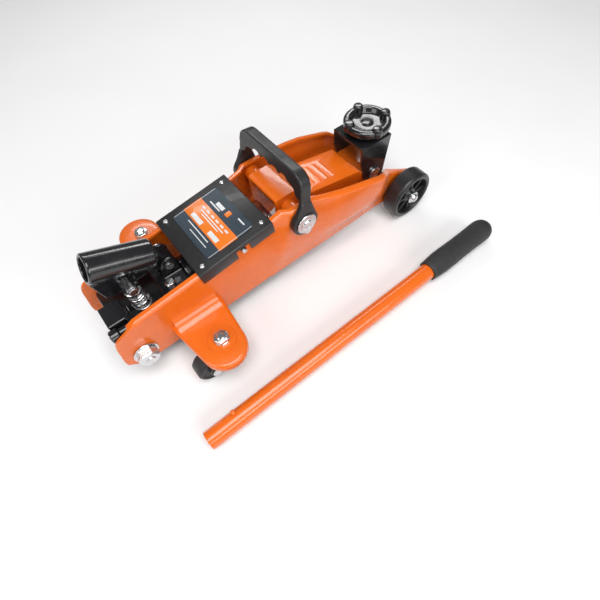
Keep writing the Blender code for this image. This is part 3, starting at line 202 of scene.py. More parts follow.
@dataclass(frozen=True)
class Enamel:
    """Sprayed paint on pressed or cast metal.

    Attributes:
        name: the material's name.
        color: the clean paint.
        worn: the colour where dust and handling have dulled it.
        gloss: lowest and highest roughness.
        coat: weight of the clear top layer.
        peel: depth of the spray's orange-peel relief, in metres.
        cast: depth of the rough casting below, in metres, 0 on pressed sheet.
        dust: how far pale dust covers it.
    """

    name: str
    color: Color
    worn: Color
    gloss: tuple[float, float]
    coat: float = 0.5
    peel: float = 0.00004
    cast: float = 0.0
    dust: float = 0.08

    def material(self) -> bpy.types.Material:
        """Build the paint's node material."""
        board = Board(self.name)
        cloud = board.noise(22, 5)
        fine = board.noise(340, 3, 0.6)
        blotch = board.span(cloud, 0.42, 0.75, 0.0, 0.55)
        color = board.mix(blotch, self.color, self.worn)
        dusty = board.span(board.noise(60, 2), 0.5, 0.7, 0.0, self.dust)
        specks = board.sum(board.spots(900, 0.16), dusty, "MULTIPLY")
        color = board.mix(specks, color, (0.55, 0.53, 0.50))
        smear = board.span(board.noise(48, 6, 0.65, board.stretched((1.0, 1.0, 2.6))), 0.35, 0.7, *self.gloss)
        normal = board.bump(board.noise(420, 1.5), self.peel * 0.5)
        if self.cast:
            normal = board.bump(board.sum(board.noise(650, 4, 0.7), fine, "MULTIPLY"), self.cast, normal)
        board.set(Base_Color=color, Roughness=smear, Normal=normal, Coat_Weight=self.coat,
                  Coat_Roughness=0.07)
        return board.material


@dataclass(frozen=True)
class Plate:
    """Bright plated or ground steel.

    Attributes:
        name: the material's name.
        color: the metal.
        tint: the colour of the plating's stains.
        gloss: lowest and highest roughness.
        grain: stretch of the tooling lines along X, Y and Z.
        lines: depth of the tooling lines, in metres.
    """

    name: str
    color: Color
    tint: Color
    gloss: tuple[float, float]
    grain: tuple[float, float, float] = (1.0, 1.0, 1.0)
    lines: float = 0.000004

    def material(self) -> bpy.types.Material:
        """Build the metal's node material."""
        board = Board(self.name)
        stain = board.span(board.noise(45, 3, 0.5), 0.45, 0.75, 0.0, 0.5)
        grain = board.noise(500, 4, 0.6, board.stretched(self.grain))
        color = board.mix(stain, self.color, self.tint)
        rough = board.span(board.sum(grain, board.noise(60, 4), "MULTIPLY"), 0.1, 0.45, *self.gloss)
        board.set(Base_Color=color, Roughness=rough, Metallic=1.0, Normal=board.bump(grain, self.lines))
        return board.material


@dataclass(frozen=True)
class Moulding:
    """Moulded rubber or plastic, matt and finely grained.

    Attributes:
        name: the material's name.
        color: the clean surface.
        worn: the greyed surface.
        gloss: lowest and highest roughness.
        pores: grain cells per metre.
        depth: depth of the grain, in metres.
    """

    name: str
    color: Color
    worn: Color
    gloss: tuple[float, float]
    pores: float = 1500
    depth: float = 0.00006

    def material(self) -> bpy.types.Material:
        """Build the moulding's node material."""
        board = Board(self.name)
        cells = board.node("ShaderNodeTexVoronoi", {"Vector": board.place, "Scale": self.pores})
        cloud = board.noise(35, 6, 0.6)
        color = board.mix(board.span(cloud, 0.4, 0.75, 0.0, 0.8), self.color, self.worn)
        rough = board.span(board.noise(120, 5), 0.3, 0.7, *self.gloss)
        normal = board.bump(board.noise(90, 3), self.depth * 2.5)
        normal = board.bump(cells.outputs["Distance"], self.depth, normal)
        board.set(Base_Color=color, Roughness=rough, Normal=normal)
        return board.material


ORANGE = Enamel("orange_enamel", (0.74, 0.135, 0.006), (0.64, 0.108, 0.006), (0.20, 0.32), 0.35,
                0.00002, dust=0.02)
BLACK_GLOSS = Enamel("black_enamel", (0.0085, 0.0085, 0.010), (0.016, 0.016, 0.018), (0.13, 0.30), 0.5,
                     0.00005, 0.00010)
BLACK_SATIN = Enamel("black_powder_coat", (0.012, 0.012, 0.013), (0.020, 0.020, 0.021), (0.34, 0.50), 0.1,
                     0.00007)
BLACK_WHEEL = Enamel("black_wheel_paint", (0.010, 0.010, 0.011), (0.019, 0.019, 0.020), (0.30, 0.48), 0.15,
                     0.00007, 0.00008)
ZINC = Plate("zinc_plate", (0.70, 0.71, 0.73), (0.56, 0.56, 0.54), (0.16, 0.38))
GROUND = Plate("ground_steel", (0.62, 0.62, 0.63), (0.50, 0.50, 0.51), (0.12, 0.30), (1.0, 0.05, 0.05))
GRIP = Moulding("grip_rubber", (0.013, 0.013, 0.014), (0.026, 0.026, 0.027), (0.50, 0.68))
TYRE = Moulding("wheel_rubber", (0.012, 0.012, 0.012), (0.024, 0.024, 0.024), (0.42, 0.60), 1100)
SLATE = Enamel("label_slate", (0.020, 0.034, 0.050), (0.028, 0.043, 0.060), (0.26, 0.40), 0.2, 0.00002)
INK_ORANGE = Enamel("label_orange", (0.72, 0.17, 0.010), (0.64, 0.14, 0.010), (0.26, 0.38), 0.2, 0.00002)
INK_PALE = Enamel("label_pale", (0.62, 0.63, 0.64), (0.52, 0.53, 0.54), (0.30, 0.42), 0.1, 0.00002)


class Paintbox:
    """Each finish's material, made once and shared."""

    def __init__(self) -> None:
        """Start with no material made."""
        self.made: dict[str, bpy.types.Material] = {}

    def of(self, finish: object) -> bpy.types.Material:
        """Material of a finish, made on first use."""
        if finish.name not in self.made:
            self.made[finish.name] = finish.material()
        return self.made[finish.name]


PAINTS = Paintbox()


# ---------------------------------------------------------------- shapes

def eased(profile: Profile, radius: float, steps: int = 3, closed: bool = False) -> Profile:
    """Round a profile's corners.

    Args:
        profile: (radius, height) points.
        radius: corner radius, cut down where an edge is short.
        steps: points per corner beyond the first.
        closed: whether the last point joins the first.

    Returns:
        The profile with an arc in place of each inner corner.
    """
    points = [Vector(point) for point in profile]
    count = len(points)
    made: Profile = []
    for i, here in enumerate(points):
        if not closed and i in (0, count - 1):
            made.append(tuple(here))
            continue
        before, after = points[i - 1] - here, points[(i + 1) % count] - here
        reach = min(radius, before.length * 0.45, after.length * 0.45)
        start, end = here + before.normalized() * reach, here + after.normalized() * reach
        for step in range(steps + 1):
            t = step / steps
            made.append(tuple(start.lerp(here, t).lerp(here.lerp(end, t), t)))
    return made


def axis_matrix(start: Vector, direction: Vector) -> Matrix:
    """Matrix that puts local +Z along a direction from a start point."""
    turn = Vector((0, 0, 1)).rotation_difference(direction).to_matrix().to_4x4()
    return Matrix.Translation(start) @ turn


def outward(node: str, side: Side) -> tuple[float, float, Matrix]:
    """Where a solid that stands out sideways from the frame starts, and how big it is.

    Args:
        node: the solid's name.
        side: the side of the jack it is on.

    Returns:
        Its radius, its width and the matrix that puts local +Z outwards from its inner end.
    """
    low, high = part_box(node)
    start = low.y if side is Side.LEFT else high.y
    centre = Vector(((low.x + high.x) / 2, start, (low.z + high.z) / 2))
    return (high.x - low.x) / 2, high.y - low.y, axis_matrix(centre, Vector((0, side.value, 0)))


def lathe(profile: Profile, steps: int = 72, closed: bool = False) -> bmesh.types.BMesh:
    """Turn a profile about +Z.

    Args:
        profile: (radius, height) points, from the top down the outside.
        steps: faces round the axis.
        closed: whether the last point joins the first, as on a ring.

    Returns:
        The turned surface, with its outside facing out.
    """
    bm = bmesh.new()
    rings = []
    for radius, height in profile:
        if radius < 1e-7:
            rings.append([bm.verts.new((0, 0, height))])
        else:
            angles = [2 * math.pi * i / steps for i in range(steps)]
            rings.append([bm.verts.new((radius * math.cos(a), radius * math.sin(a), height)) for a in angles])
    pairs = list(zip(rings, rings[1:]))
    if closed:
        pairs.append((rings[-1], rings[0]))
    for upper, lower in pairs:
        for i in range(steps):
            j = (i + 1) % steps
            if len(upper) == 1 and len(lower) == 1:
                continue
            if len(upper) == 1:
                bm.faces.new((upper[0], lower[i], lower[j]))
            elif len(lower) == 1:
                bm.faces.new((upper[j], upper[i], lower[0]))
            else:
                bm.faces.new((upper[j], upper[i], lower[i], lower[j]))
    return bm


def hex_head(across: float, height: float, chamfer: float = 0.9, steps: int = 72) -> bmesh.types.BMesh:
    """Hexagonal head whose top edge is turned to a chamfer, as on a real nut.

    Args:
        across: size across the flats.
        height: head height.
        chamfer: radius of the flat top as a share of half the size across the flats.
        steps: points round the head, a multiple of six.

    Returns:
        The head, standing on the XY plane.
    """
    bm = bmesh.new()
    inner = across / 2 * chamfer
    rings: list[list[bmesh.types.BMVert]] = [[], [], [], []]
    for i in range(steps):
        angle = 2 * math.pi * i / steps
        corner = (angle % (math.pi / 3)) - math.pi / 6
        radius = across / 2 / math.cos(corner)
        spin = Vector((math.cos(angle), math.sin(angle), 0))
        drop = (radius - inner) * 0.5
        for ring, r, z in zip(rings, (inner, radius - 0.12 * MM, radius, radius),
                              (height, height - drop + 0.08 * MM, height - drop - 0.12 * MM, 0)):
            ring.append(bm.verts.new(spin * r + Vector((0, 0, z))))
    for upper, lower in zip(rings, rings[1:]):
        for i in range(steps):
            j = (i + 1) % steps
            bm.faces.new((upper[j], upper[i], lower[i], lower[j]))
    bm.faces.new(rings[0])
    bm.faces.new(rings[-1][::-1])
    return bm


def block(low: Sequence[float], high: Sequence[float], ease: float) -> bmesh.types.BMesh:
    """Box with rounded edges.

    Args:
        low: lowest corner.
        high: highest corner.
        ease: edge radius.

    Returns:
        The eased box.
    """
    bm = bmesh.new()
    bmesh.ops.create_cube(bm, size=1.0)
    bmesh.ops.scale(bm, vec=Vector(high) - Vector(low), verts=bm.verts)
    bmesh.ops.translate(bm, vec=(Vector(high) + Vector(low)) / 2, verts=bm.verts)
    bmesh.ops.bevel(bm, geom=list(bm.edges), offset=ease, segments=3, profile=0.5, affect="EDGES")
    return bm


def merged(*parts: bmesh.types.BMesh) -> bmesh.types.BMesh:
    """Put several shells into the first one."""
    whole = parts[0]
    for part in parts[1:]:
        mesh = bpy.data.meshes.new("part")
        part.to_mesh(mesh)
        part.free()
        whole.from_mesh(mesh)
        bpy.data.meshes.remove(mesh)
    return whole


def moved(bm: bmesh.types.BMesh, matrix: Matrix) -> bmesh.types.BMesh:
    """The same shape carried by a matrix."""
    bmesh.ops.transform(bm, matrix=matrix, verts=bm.verts)
    return bm


# ---------------------------------------------------------------- assemblies

class Assembly:
    """What every sub-assembly of the jack shares: its way of placing and dressing pieces."""

    body = "frame"

    def piece(self, name: str, bm: bmesh.types.BMesh, finish: object, body: Optional[str] = None,
              stands_for: Iterable[str] = (), sharp: float = 35.0) -> bpy.types.Object:
        """Make a piece, ride it on its body and give it its finish.

        Args:
            name: the piece's name.
            bm: its shape, in the jack's frame; it is freed.
            finish: its surface.
            body: the body it moves with, the assembly's own by default.
            stands_for: solids that it takes the place of.
            sharp: edges bent further than this many degrees stay crisp.

        Returns:
            The piece.
        """
        bmesh.ops.recalc_face_normals(bm, faces=bm.faces)
        mesh = bpy.data.meshes.new(name)
        bm.to_mesh(mesh)
        bm.free()
        mesh.materials.append(PAINTS.of(finish))
        mesh.shade_smooth()
        mesh.set_sharp_from_angle(angle=math.radians(sharp))
        made = bpy.data.objects.new(name, mesh)
        bpy.context.scene.collection.objects.link(made)
        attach(made, body or self.body)
        if stands_for:
            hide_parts(*stands_for)
        LOG.info("made %s", name)
        return made

    def painted(self, node: str, finish: object) -> bpy.types.Object:
        """A solid with its finish, shaded smooth and its points welded.

        Args:
            node: the solid's name.
            finish: its surface.

        Returns:
            The solid's object.
        """
        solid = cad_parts[node]
        mesh = solid.data
        normals = mesh.attributes.get("custom_normal")
        if normals is not None:
            mesh.attributes.remove(normals)
        mesh.shade_smooth()
        mesh.materials.clear()
        mesh.materials.append(PAINTS.of(finish))
        solid.modifiers.new("Weld", "WELD").merge_threshold = WELD
        return solid

    def dress(self, node: str, finish: object, ease: float = 0.4 * MM,
              angle: float = 32.0) -> bpy.types.Object:
        """Finish a solid that keeps its own shape: smooth its rounds and ease its edges.

        Args:
            node: the solid's name.
            finish: its surface.
            ease: edge radius.
            angle: edges bent further than this many degrees are eased.

        Returns:
            The solid's object.
        """
        solid = self.painted(node, finish)
        flat = solid.modifiers.new("Flat faces", "DECIMATE")
        flat.decimate_type = "DISSOLVE"
        flat.angle_limit = FLAT_ANGLE
        bevel = solid.modifiers.new("Eased edges", "BEVEL")
        bevel.width = ease
        bevel.segments = 2
        bevel.limit_method = "ANGLE"
        bevel.angle_limit = math.radians(angle)
        bevel.harden_normals = True
        LOG.info("dressed %s", node)
        return solid

    def cast(self, node: str, finish: object, voxel: float, rounds: int = 6) -> bpy.types.Object:
        """Finish a solid as a casting or moulding, with every edge run soft.

        Args:
            node: the solid's name.
            finish: its surface.
            voxel: size of the detail that is kept.
            rounds: passes of smoothing.

        Returns:
            The solid's object.
        """
        solid = self.painted(node, finish)
        remesh = solid.modifiers.new("Cast skin", "REMESH")
        remesh.mode = "VOXEL"
        remesh.voxel_size = voxel
        remesh.use_smooth_shade = True
        soft = solid.modifiers.new("Soft edges", "SMOOTH")
        soft.factor = 0.5
        soft.iterations = rounds
        LOG.info("cast %s", node)
        return solid


@dataclass
class FrameShell(Assembly):
    """Pressed side plates, cover, pivot shaft and the fixings that hold them.

    Attributes:
        washer_ease: edge radius of washers and discs.
        washer: where the rear bolt's washer starts and ends, from the shank's inner end.
        head_across: rear bolt's size across the flats.
        nut_across: caster nut's size across the flats.
        nut_washer: thickness of the washer below the caster nut.
        pitch: thread pitch of the caster's bolt.
    """

    washer_ease: float = 0.7 * MM
    washer: tuple[float, float] = (13.3 * MM, 15.6 * MM)
    head_across: float = 21.6 * MM
    nut_across: float = 15.8 * MM
    nut_washer: float = 1.2 * MM
    pitch: float = 0.9 * MM

    def build(self) -> None:
        """Dress the sheet metal, then make the fixings."""
        for side in Side:
            self.dress(f"side_plate_{side.word}", ORANGE, 0.5 * MM, 40)
            self.rear_bolt(side)
            self.handle_bolt(side)
            self.caster_nut(side)
            self.axle_cap(side)
            self.dress(f"link_rear_pin_{side.word}", ZINC)
            self.dress(f"caster_race_{side.word}", ZINC)
        self.dress("cover_plate", BLACK_SATIN, 0.5 * MM, 50)
        self.dress("arm_pivot_shaft", ORANGE, 0.6 * MM)
        self.dress("front_axle", ZINC)
        for i in range(1, 5):
            self.cover_screw(i)
        self.dress("cover_side_screw", ZINC, 0.3 * MM)

    def rear_bolt(self, side: Side) -> None:
        """Broad washer and hexagonal head at the plate's rear corner."""
        node = f"rear_bolt_{side.word}"
        radius, width, place = outward(node, side)
        start, face = self.washer
        tall = width - face
        washer = eased([(0, face), (radius, face), (radius, start), (6 * MM, start), (6 * MM, 0), (0, 0)],
                       self.washer_ease)
        head = hex_head(self.head_across, tall - 1.4 * MM)
        end = [(0, tall), (5 * MM, tall), (5.8 * MM, tall - 0.8 * MM), (5.8 * MM, 0)]
        stub = lathe(eased(end, 0.3 * MM), 40)
        above = Matrix.Translation((0, 0, face))
        whole = merged(lathe(washer), moved(head, above), moved(stub, above))
        self.piece(f"{node}_bright", moved(whole, place), ZINC, stands_for=[node])

    def handle_bolt(self, side: Side) -> None:
        """Round disc with a low raised middle that holds the carry handle."""
        node = f"handle_bolt_{side.word}"
        radius, width, place = outward(node, side)
        disc = width - 2 * MM
        profile = eased([(0, width - 0.5 * MM), (3.4 * MM, width - 0.5 * MM), (3.8 * MM, width),
                         (5.4 * MM, width), (6.8 * MM, disc + 0.3 * MM), (9.6 * MM, disc - 0.1 * MM),
                         (radius - 0.6 * MM, disc), (radius, disc - 0.8 * MM), (radius, disc - 1.7 * MM),
                         (5 * MM, disc - 1.8 * MM), (5 * MM, 0), (0, 0)], 0.6 * MM)
        self.piece(f"{node}_bright", moved(lathe(profile), place), ZINC, stands_for=[node])

    def caster_nut(self, side: Side) -> None:
        """Nut on top of the wing with the end of its bolt standing proud."""
        nut, pin = f"caster_nut_{side.word}", f"caster_kingpin_{side.word}"
        low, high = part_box(nut)
        seat = Vector(((low.x + high.x) / 2, (low.y + high.y) / 2, low.z))
        thick = self.nut_washer
        section = [(5.4 * MM, thick), (8.9 * MM, thick), (8.9 * MM, 0), (5.4 * MM, 0)]
        washer = lathe(eased(section, 0.3 * MM, closed=True), closed=True)
        head = hex_head(self.nut_across, high.z - low.z - thick)
        whole = merged(washer, moved(head, Matrix.Translation((0, 0, thick))))
        bottom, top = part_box(pin)
        self.piece(f"{nut}_bright", moved(whole, Matrix.Translation(seat)), ZINC, stands_for=[nut])
        length = top.z - bottom.z
        turns = []
        for i in range(14):
            z = length - 1.2 * MM - i * self.pitch
            turns += [(5 * MM, z), (4.55 * MM, z - self.pitch / 2)]
        profile = [(0, length), (3.5 * MM, length), (4.6 * MM, length - 0.8 * MM), *turns, (5 * MM, 3 * MM),
                   (9 * MM, 3 * MM), (9 * MM, 0), (0, 0)]
        place = Vector(((bottom.x + top.x) / 2, (bottom.y + top.y) / 2, bottom.z))
        self.piece(f"{pin}_bright", moved(lathe(profile, 48), Matrix.Translation(place)), ZINC,
                   stands_for=[pin])

    def axle_cap(self, side: Side) -> None:
        """Domed push-on cap over the axle's end, with a flared rim."""
        node = f"axle_cap_{side.word}"
        radius, width, place = outward(node, side)
        profile = [(0, width), (2.6 * MM, width * 0.96), (4.6 * MM, width * 0.82), (5.8 * MM, width * 0.56),
                   (6.2 * MM, width * 0.34), (7.2 * MM, width * 0.22), (radius, width * 0.2), (radius, 0),
                   (0, 0)]
        self.piece(f"{node}_bright", moved(lathe(eased(profile, 0.3 * MM)), place), ZINC, stands_for=[node])

    def cover_screw(self, number: int) -> None:
        """Pan-head screw with a cross recess in the cover."""
        node = f"cover_screw_{number}"
        low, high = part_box(node)
        slope = CoverLabel.slope()
        up = Vector((-math.sin(slope), 0, math.cos(slope)))
        middle = (low + high) / 2
        radius = 3.1 * MM
        height = 1.75 * MM
        profile = eased([(0, height), (1.5 * MM, height * 0.98), (2.5 * MM, height * 0.7),
                         (radius, 0.25 * MM), (radius, 0), (0, 0)], 0.2 * MM)
        bm = lathe(profile, 48)
        for vert in bm.verts:
            arm = min(abs(vert.co.x), abs(vert.co.y))
            if vert.co.z > height * 0.6 and arm < 0.34 * MM and vert.co.xy.length < 1.75 * MM:
                vert.co.z -= 0.55 * MM
        self.piece(f"{node}_bright", moved(bm, axis_matrix(middle - up * height / 2, up)), ZINC,
                   stands_for=[node], sharp=50)


@dataclass
class CoverLabel(Assembly):
    """Printed label on the cover, with plain bars where a real one carries words.

    Attributes:
        lift: how far the print stands on the film.
        margin: pale border line's inset.
        line: width of the border line.
        ease: edge radius of the print.
        half: half the label's length and width.
    """

    lift: float = 0.05 * MM
    margin: float = 1.6 * MM
    line: float = 0.5 * MM
    ease: float = 0.02 * MM
    half: tuple[float, float] = (31 * MM, 39 * MM)

    @staticmethod
    def slope() -> float:
        """Angle of the cover's top above level."""
        low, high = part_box("cover_label")
        return math.atan2(high.z - low.z - 0.6 * MM, high.x - low.x)

    def build(self) -> None:
        """Dress the film, then lay the band and the bars on it."""
        self.dress("cover_label", SLATE, 0.15 * MM)
        low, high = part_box("cover_label")
        angle = self.slope()
        middle = (low + high) / 2 + Vector((-math.sin(angle), 0, math.cos(angle))) * 0.3 * MM
        place = Matrix.Translation(middle) @ Matrix.Rotation(-angle, 4, "Y")
        half_u, half_v = self.half
        band = [(-15.2, 9.2, -half_v / MM, half_v / MM)]
        bars = [(16.5, 21.5, 4, 18), (13.6, 15.2, 6, 26), (23.5, 25.2, -30, -18)]
        bars += [(3.2, 5.6, -26 + i * 9.4, -20 + i * 9.4) for i in range(6)]
        bars += [(-0.4, 1.0, -22, 24), (-3.4, -2.2, -16, 18)]
        bars += [(-13.2, -7.6, 6, 27), (-13.2, -7.6, -27, -9), (-19.4, -18.2, -20, 22),
                 (-24.6, -23.6, -24, 10)]
        accents = [(15.6, 23.2, -8, -1.5)]
        rows = [("label_band", band, INK_ORANGE, 1), ("label_bars", bars, INK_PALE, 2),
                ("label_accent", accents, INK_ORANGE, 2)]
        for name, boxes, finish, layer in rows:
            shells = []
            for u0, u1, v0, v1 in boxes:
                shells.append(block((u0 * MM, v0 * MM, 0), (u1 * MM, v1 * MM, layer * self.lift), self.ease))
            self.piece(name, moved(merged(*shells), place), finish)
        far_u, far_v = half_u - self.margin, half_v - self.margin
        shells = [block((-far_u, v - self.line / 2, 0), (far_u, v + self.line / 2, 3 * self.lift), self.ease)
                  for v in (-far_v, far_v)]
        self.piece("label_border", moved(merged(*shells), place), INK_PALE)


@dataclass
class LiftingArm(Assembly):
    """Arm, radius links, bracket and ram.

    Attributes:
        edge: edge radius of the bent sheet.
    """

    edge: float = 0.7 * MM
    body: str = "arm"

    def build(self) -> None:
        """Dress the arm's solids."""
        self.dress("lift_arm", ORANGE, self.edge, 34)
        self.dress("saddle_bracket", BLACK_GLOSS, self.edge, 34)
        for node in ("radius_link_left", "radius_link_right"):
            self.dress(node, BLACK_GLOSS, 0.5 * MM)
        for node in ("ram_pin", "ram_rod"):
            self.dress(node, GROUND)
        for node in ("bracket_pin", "link_front_pin_left", "link_front_pin_right", "saddle_clip"):
            self.dress(node, ZINC)


@dataclass
class SaddleDish(Assembly):
    """Round saddle with a rim, a low middle and four lugs.

    Attributes:
        rim: outer radius.
        lug: lug radius at its top.
        reach: how far the lugs stand from the middle.
        depth: from the lugs' tops to the underside.
        turn: bearing of the first lug, in degrees.
    """

    rim: float = 30.2 * MM
    lug: float = 5.9 * MM
    reach: float = 25.3 * MM
    depth: float = 18.7 * MM
    turn: float = -15.0
    body: str = "saddle"

    def build(self) -> None:
        """Turn the dish and stand the lugs on it."""
        low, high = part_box("saddle")
        centre = Vector(((low.x + high.x) / 2, (low.y + high.y) / 2, 0))
        top = high.z
        base = top - self.depth
        profile = eased([(0, top - 8.0 * MM), (5.5 * MM, top - 8.2 * MM), (7.5 * MM, top - 9.3 * MM),
                         (19.5 * MM, top - 9.2 * MM), (22.2 * MM, top - 4.4 * MM),
                         (23.4 * MM, top - 3.4 * MM),
                         (self.rim - 2.4 * MM, top - 3.3 * MM), (self.rim, top - 5.3 * MM),
                         (self.rim, top - 11.2 * MM), (22 * MM, base), (8 * MM, base), (8 * MM, low.z),
                         (0, low.z)], 1.1 * MM, 4)
        shells = [lathe(profile, 96)]
        for i in range(4):
            angle = math.radians(self.turn + 90 * i)
            lug = eased([(0, top), (self.lug - 1.4 * MM, top), (self.lug, top - 1.2 * MM),
                         (self.lug + 1.1 * MM, top - 5 * MM), (self.lug + 1.1 * MM, top - 10.5 * MM),
                         (self.lug - 1 * MM, top - 11.5 * MM), (0, top - 11.5 * MM)], 0.9 * MM, 3)
            place = (self.reach * math.cos(angle), self.reach * math.sin(angle), 0)
            shells.append(moved(lathe(lug, 40), Matrix.Translation(place)))
        self.piece("saddle_dish", moved(merged(*shells), Matrix.Translation(centre)), BLACK_GLOSS,
                   stands_for=["saddle"], sharp=50)


@dataclass
class RoadWheel(Assembly):
    """Front wheel: rounded tread, rim lip, sunk web with ribs, hub.

    Attributes:
        ribs: ribs round each face.
        hub: hub radius.
        lip: radius inside the rim.
        web: half the thickness of the sunk web.
        bore: radius of the axle's hole.
    """

    ribs: int = 8
    hub: float = 11 * MM
    lip: float = 27.5 * MM
    web: float = 3 * MM
    bore: float = 6.3 * MM

    def build(self) -> None:
        """Make both wheels."""
        for side in Side:
            self.wheel(side)

    def wheel(self, side: Side) -> None:
        """Turn one wheel and fit the ribs into both its faces."""
        node = f"front_wheel_{side.word}"
        radius, width, place = outward(node, side)
        middle, web, bore = width / 2, self.web, self.bore
        rise = width - 5 * MM
        profile = eased([(bore, rise), (self.hub - 1 * MM, rise), (self.hub, rise - 1.2 * MM),
                         (self.hub + 0.8 * MM, middle + web), (self.lip - 1.2 * MM, middle + web),
                         (self.lip, width - 1.2 * MM), (self.lip + 1 * MM, width), (radius - 3.2 * MM, width),
                         (radius - 0.9 * MM, width - 1.4 * MM), (radius, width - 3.6 * MM),
                         (radius, 3.6 * MM),
                         (radius - 0.9 * MM, 1.4 * MM), (radius - 3.2 * MM, 0), (self.lip + 1 * MM, 0),
                         (self.lip, 1.2 * MM), (self.lip - 1.2 * MM, middle - web),
                         (self.hub + 0.8 * MM, middle - web),
                         (self.hub, 1 * MM), (self.hub - 1 * MM, 0), (bore, 0)], 0.8 * MM, 3, True)
        shells = [lathe(profile, 108, True)]
        for i in range(self.ribs):
            turn = Matrix.Rotation(2 * math.pi * i / self.ribs, 4, "Z")
            for z0, z1 in ((middle, width - 4.2 * MM), (4.2 * MM, middle)):
                rib = block((self.hub - 1 * MM, -1.3 * MM, z0), (self.lip - 0.4 * MM, 1.3 * MM, z1), 0.7 * MM)
                shells.append(moved(rib, turn))
        self.piece(f"{node}_cast", moved(merged(*shells), place), BLACK_WHEEL, body=f"wheel_{side.word}",
                   stands_for=[node], sharp=40)


@dataclass
class Caster(Assembly):
    """Swivelling rear casters under the wings.

    Attributes:
        tread: rounding of the wheel's tread.
    """

    tread: float = 2.4 * MM

    def build(self) -> None:
        """Dress the forks and turn the wheels."""
        for side in Side:
            self.dress(f"caster_fork_{side.word}", BLACK_SATIN, 0.6 * MM)
            self.dress(f"caster_axle_{side.word}", ZINC, 0.5 * MM)
            self.wheel(side)

    def wheel(self, side: Side) -> None:
        """Turn one solid wheel with a sunk face and a hub."""
        node = f"caster_wheel_{side.word}"
        low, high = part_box(node)
        radius, width = (high.z - low.z) / 2, high.y - low.y
        centre = Vector((low.x + radius, low.y, (low.z + high.z) / 2))
        profile = eased([(4.3 * MM, width), (8 * MM, width), (9 * MM, width - 1.6 * MM),
                         (radius - 5 * MM, width - 1.6 * MM),
                         (radius - 4 * MM, width), (radius - self.tread, width), (radius, width - self.tread),
                         (radius, self.tread), (radius - self.tread, 0), (radius - 4 * MM, 0),
                         (radius - 5 * MM, 1.6 * MM), (9 * MM, 1.6 * MM), (8 * MM, 0), (4.3 * MM, 0)],
                        0.6 * MM, 3, True)
        place = axis_matrix(centre, Vector((0, 1, 0)))
        self.piece(f"{node}_turned", moved(lathe(profile, 84, True), place), TYRE,
                   body=f"caster_roll_{side.word}", stands_for=[node])


@dataclass
class PowerUnit(Assembly):
    """Cast pump block, cylinder, handle socket, plunger and release valve.

    Attributes:
        grain: detail kept in the castings.
    """

    grain: float = 0.9 * MM

    def build(self) -> None:
        """Soften the castings and dress the turned parts."""
        self.cast("pump_block", BLACK_GLOSS, self.grain)
        self.cast("handle_socket", BLACK_GLOSS, 0.8 * MM, 5)
        for node in ("reservoir_tube", "cylinder_gland", "release_valve"):
            self.dress(node, BLACK_GLOSS, 0.5 * MM)
        for node in ("filler_plug", "plunger_gland", "socket_pin", "roller_pin"):
            self.dress(node, ZINC)
        for node in ("pump_roller", "pump_plunger", "plunger_spring"):
            self.dress(node, GROUND, 0.3 * MM, 50)


@dataclass
class CarryHandle(Assembly):
    """Fold-down carrying bow with finger scallops.

    Attributes:
        grain: detail kept in the moulding.
    """

    grain: float = 0.9 * MM
    body: str = "carry"

    def build(self) -> None:
        """Soften the bow as a moulding."""
        self.cast("carry_handle", BLACK_SATIN, self.grain, 8)


@dataclass
class PumpLever(Assembly):
    """Loose pump lever: painted tube, catch button and rubber grip.

    Attributes:
        wall: tube wall thickness.
        mouth: depth of the tube's open end.
        grip_length: length of the rubber grip.
        gap: clearance below the lever and inside the grip.
    """

    wall: float = 2.0 * MM
    mouth: float = 26 * MM
    grip_length: float = 118 * MM
    gap: float = 0.3 * MM
    body: str = "lever"

    def axis(self) -> tuple[Vector, Vector, float]:
        """The tube's start, its direction and its radius, read from the two solids' boxes."""
        low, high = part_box("lever_tube")
        grip_low, grip_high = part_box("lever_grip")
        radius = (high.y - low.y) / 2
        thick = (grip_high.y - grip_low.y) / 2
        start = Vector((low.x, (low.y + high.y) / 2, radius + self.gap))
        end = Vector((grip_high.x, start.y, thick + self.gap))
        return start, (end - start).normalized(), radius

    def build(self) -> None:
        """Make the tube, the button and the grip."""
        start, direction, radius = self.axis()
        place = axis_matrix(start, direction)
        length = (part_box("lever_tube")[1].x - start.x) / direction.x
        bore = radius - self.wall
        tube = [(0, length), (radius, length), (radius, 0.7 * MM), (radius - 0.7 * MM, 0),
                (bore + 0.4 * MM, 0), (bore, 0.5 * MM), (bore, self.mouth), (0, self.mouth)]
        self.piece("lever_tube_painted", moved(lathe(eased(tube, 0.25 * MM), 96), place), ORANGE,
                   stands_for=["lever_tube"])
        low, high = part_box("lever_grip")
        thick = (high.y - low.y) / 2
        depth = (high.x - start.x) / direction.x
        rear = depth - self.grip_length
        sleeve = radius + self.gap
        outline = [(0.0, 0.0), (0.30, 0.25), (0.52, 1.2), (0.70, 3.0), (0.84, 5.6), (0.93, 9.0),
                   (0.985, 13.0), (1.0, 18.0)]
        swell = [(thick * share, depth - drop * MM) for share, drop in outline]
        swell += [(thick * (0.97 - 0.02 * math.sin(i * 0.9)), depth - (30 + i * 11) * MM) for i in range(7)]
        grip = [*swell, (thick * 0.9, rear + 6 * MM), (thick * 0.88, rear + 1.2 * MM), (thick * 0.84, rear),
                (sleeve, rear), (sleeve, rear + 6 * MM)]
        self.piece("lever_grip_moulded", moved(lathe(grip, 96), place), GRIP, stands_for=["lever_grip"],
                   sharp=60)
        self.dress("lever_button", ORANGE, 0.4 * MM, 50)


# ---------------------------------------------------------------- studio

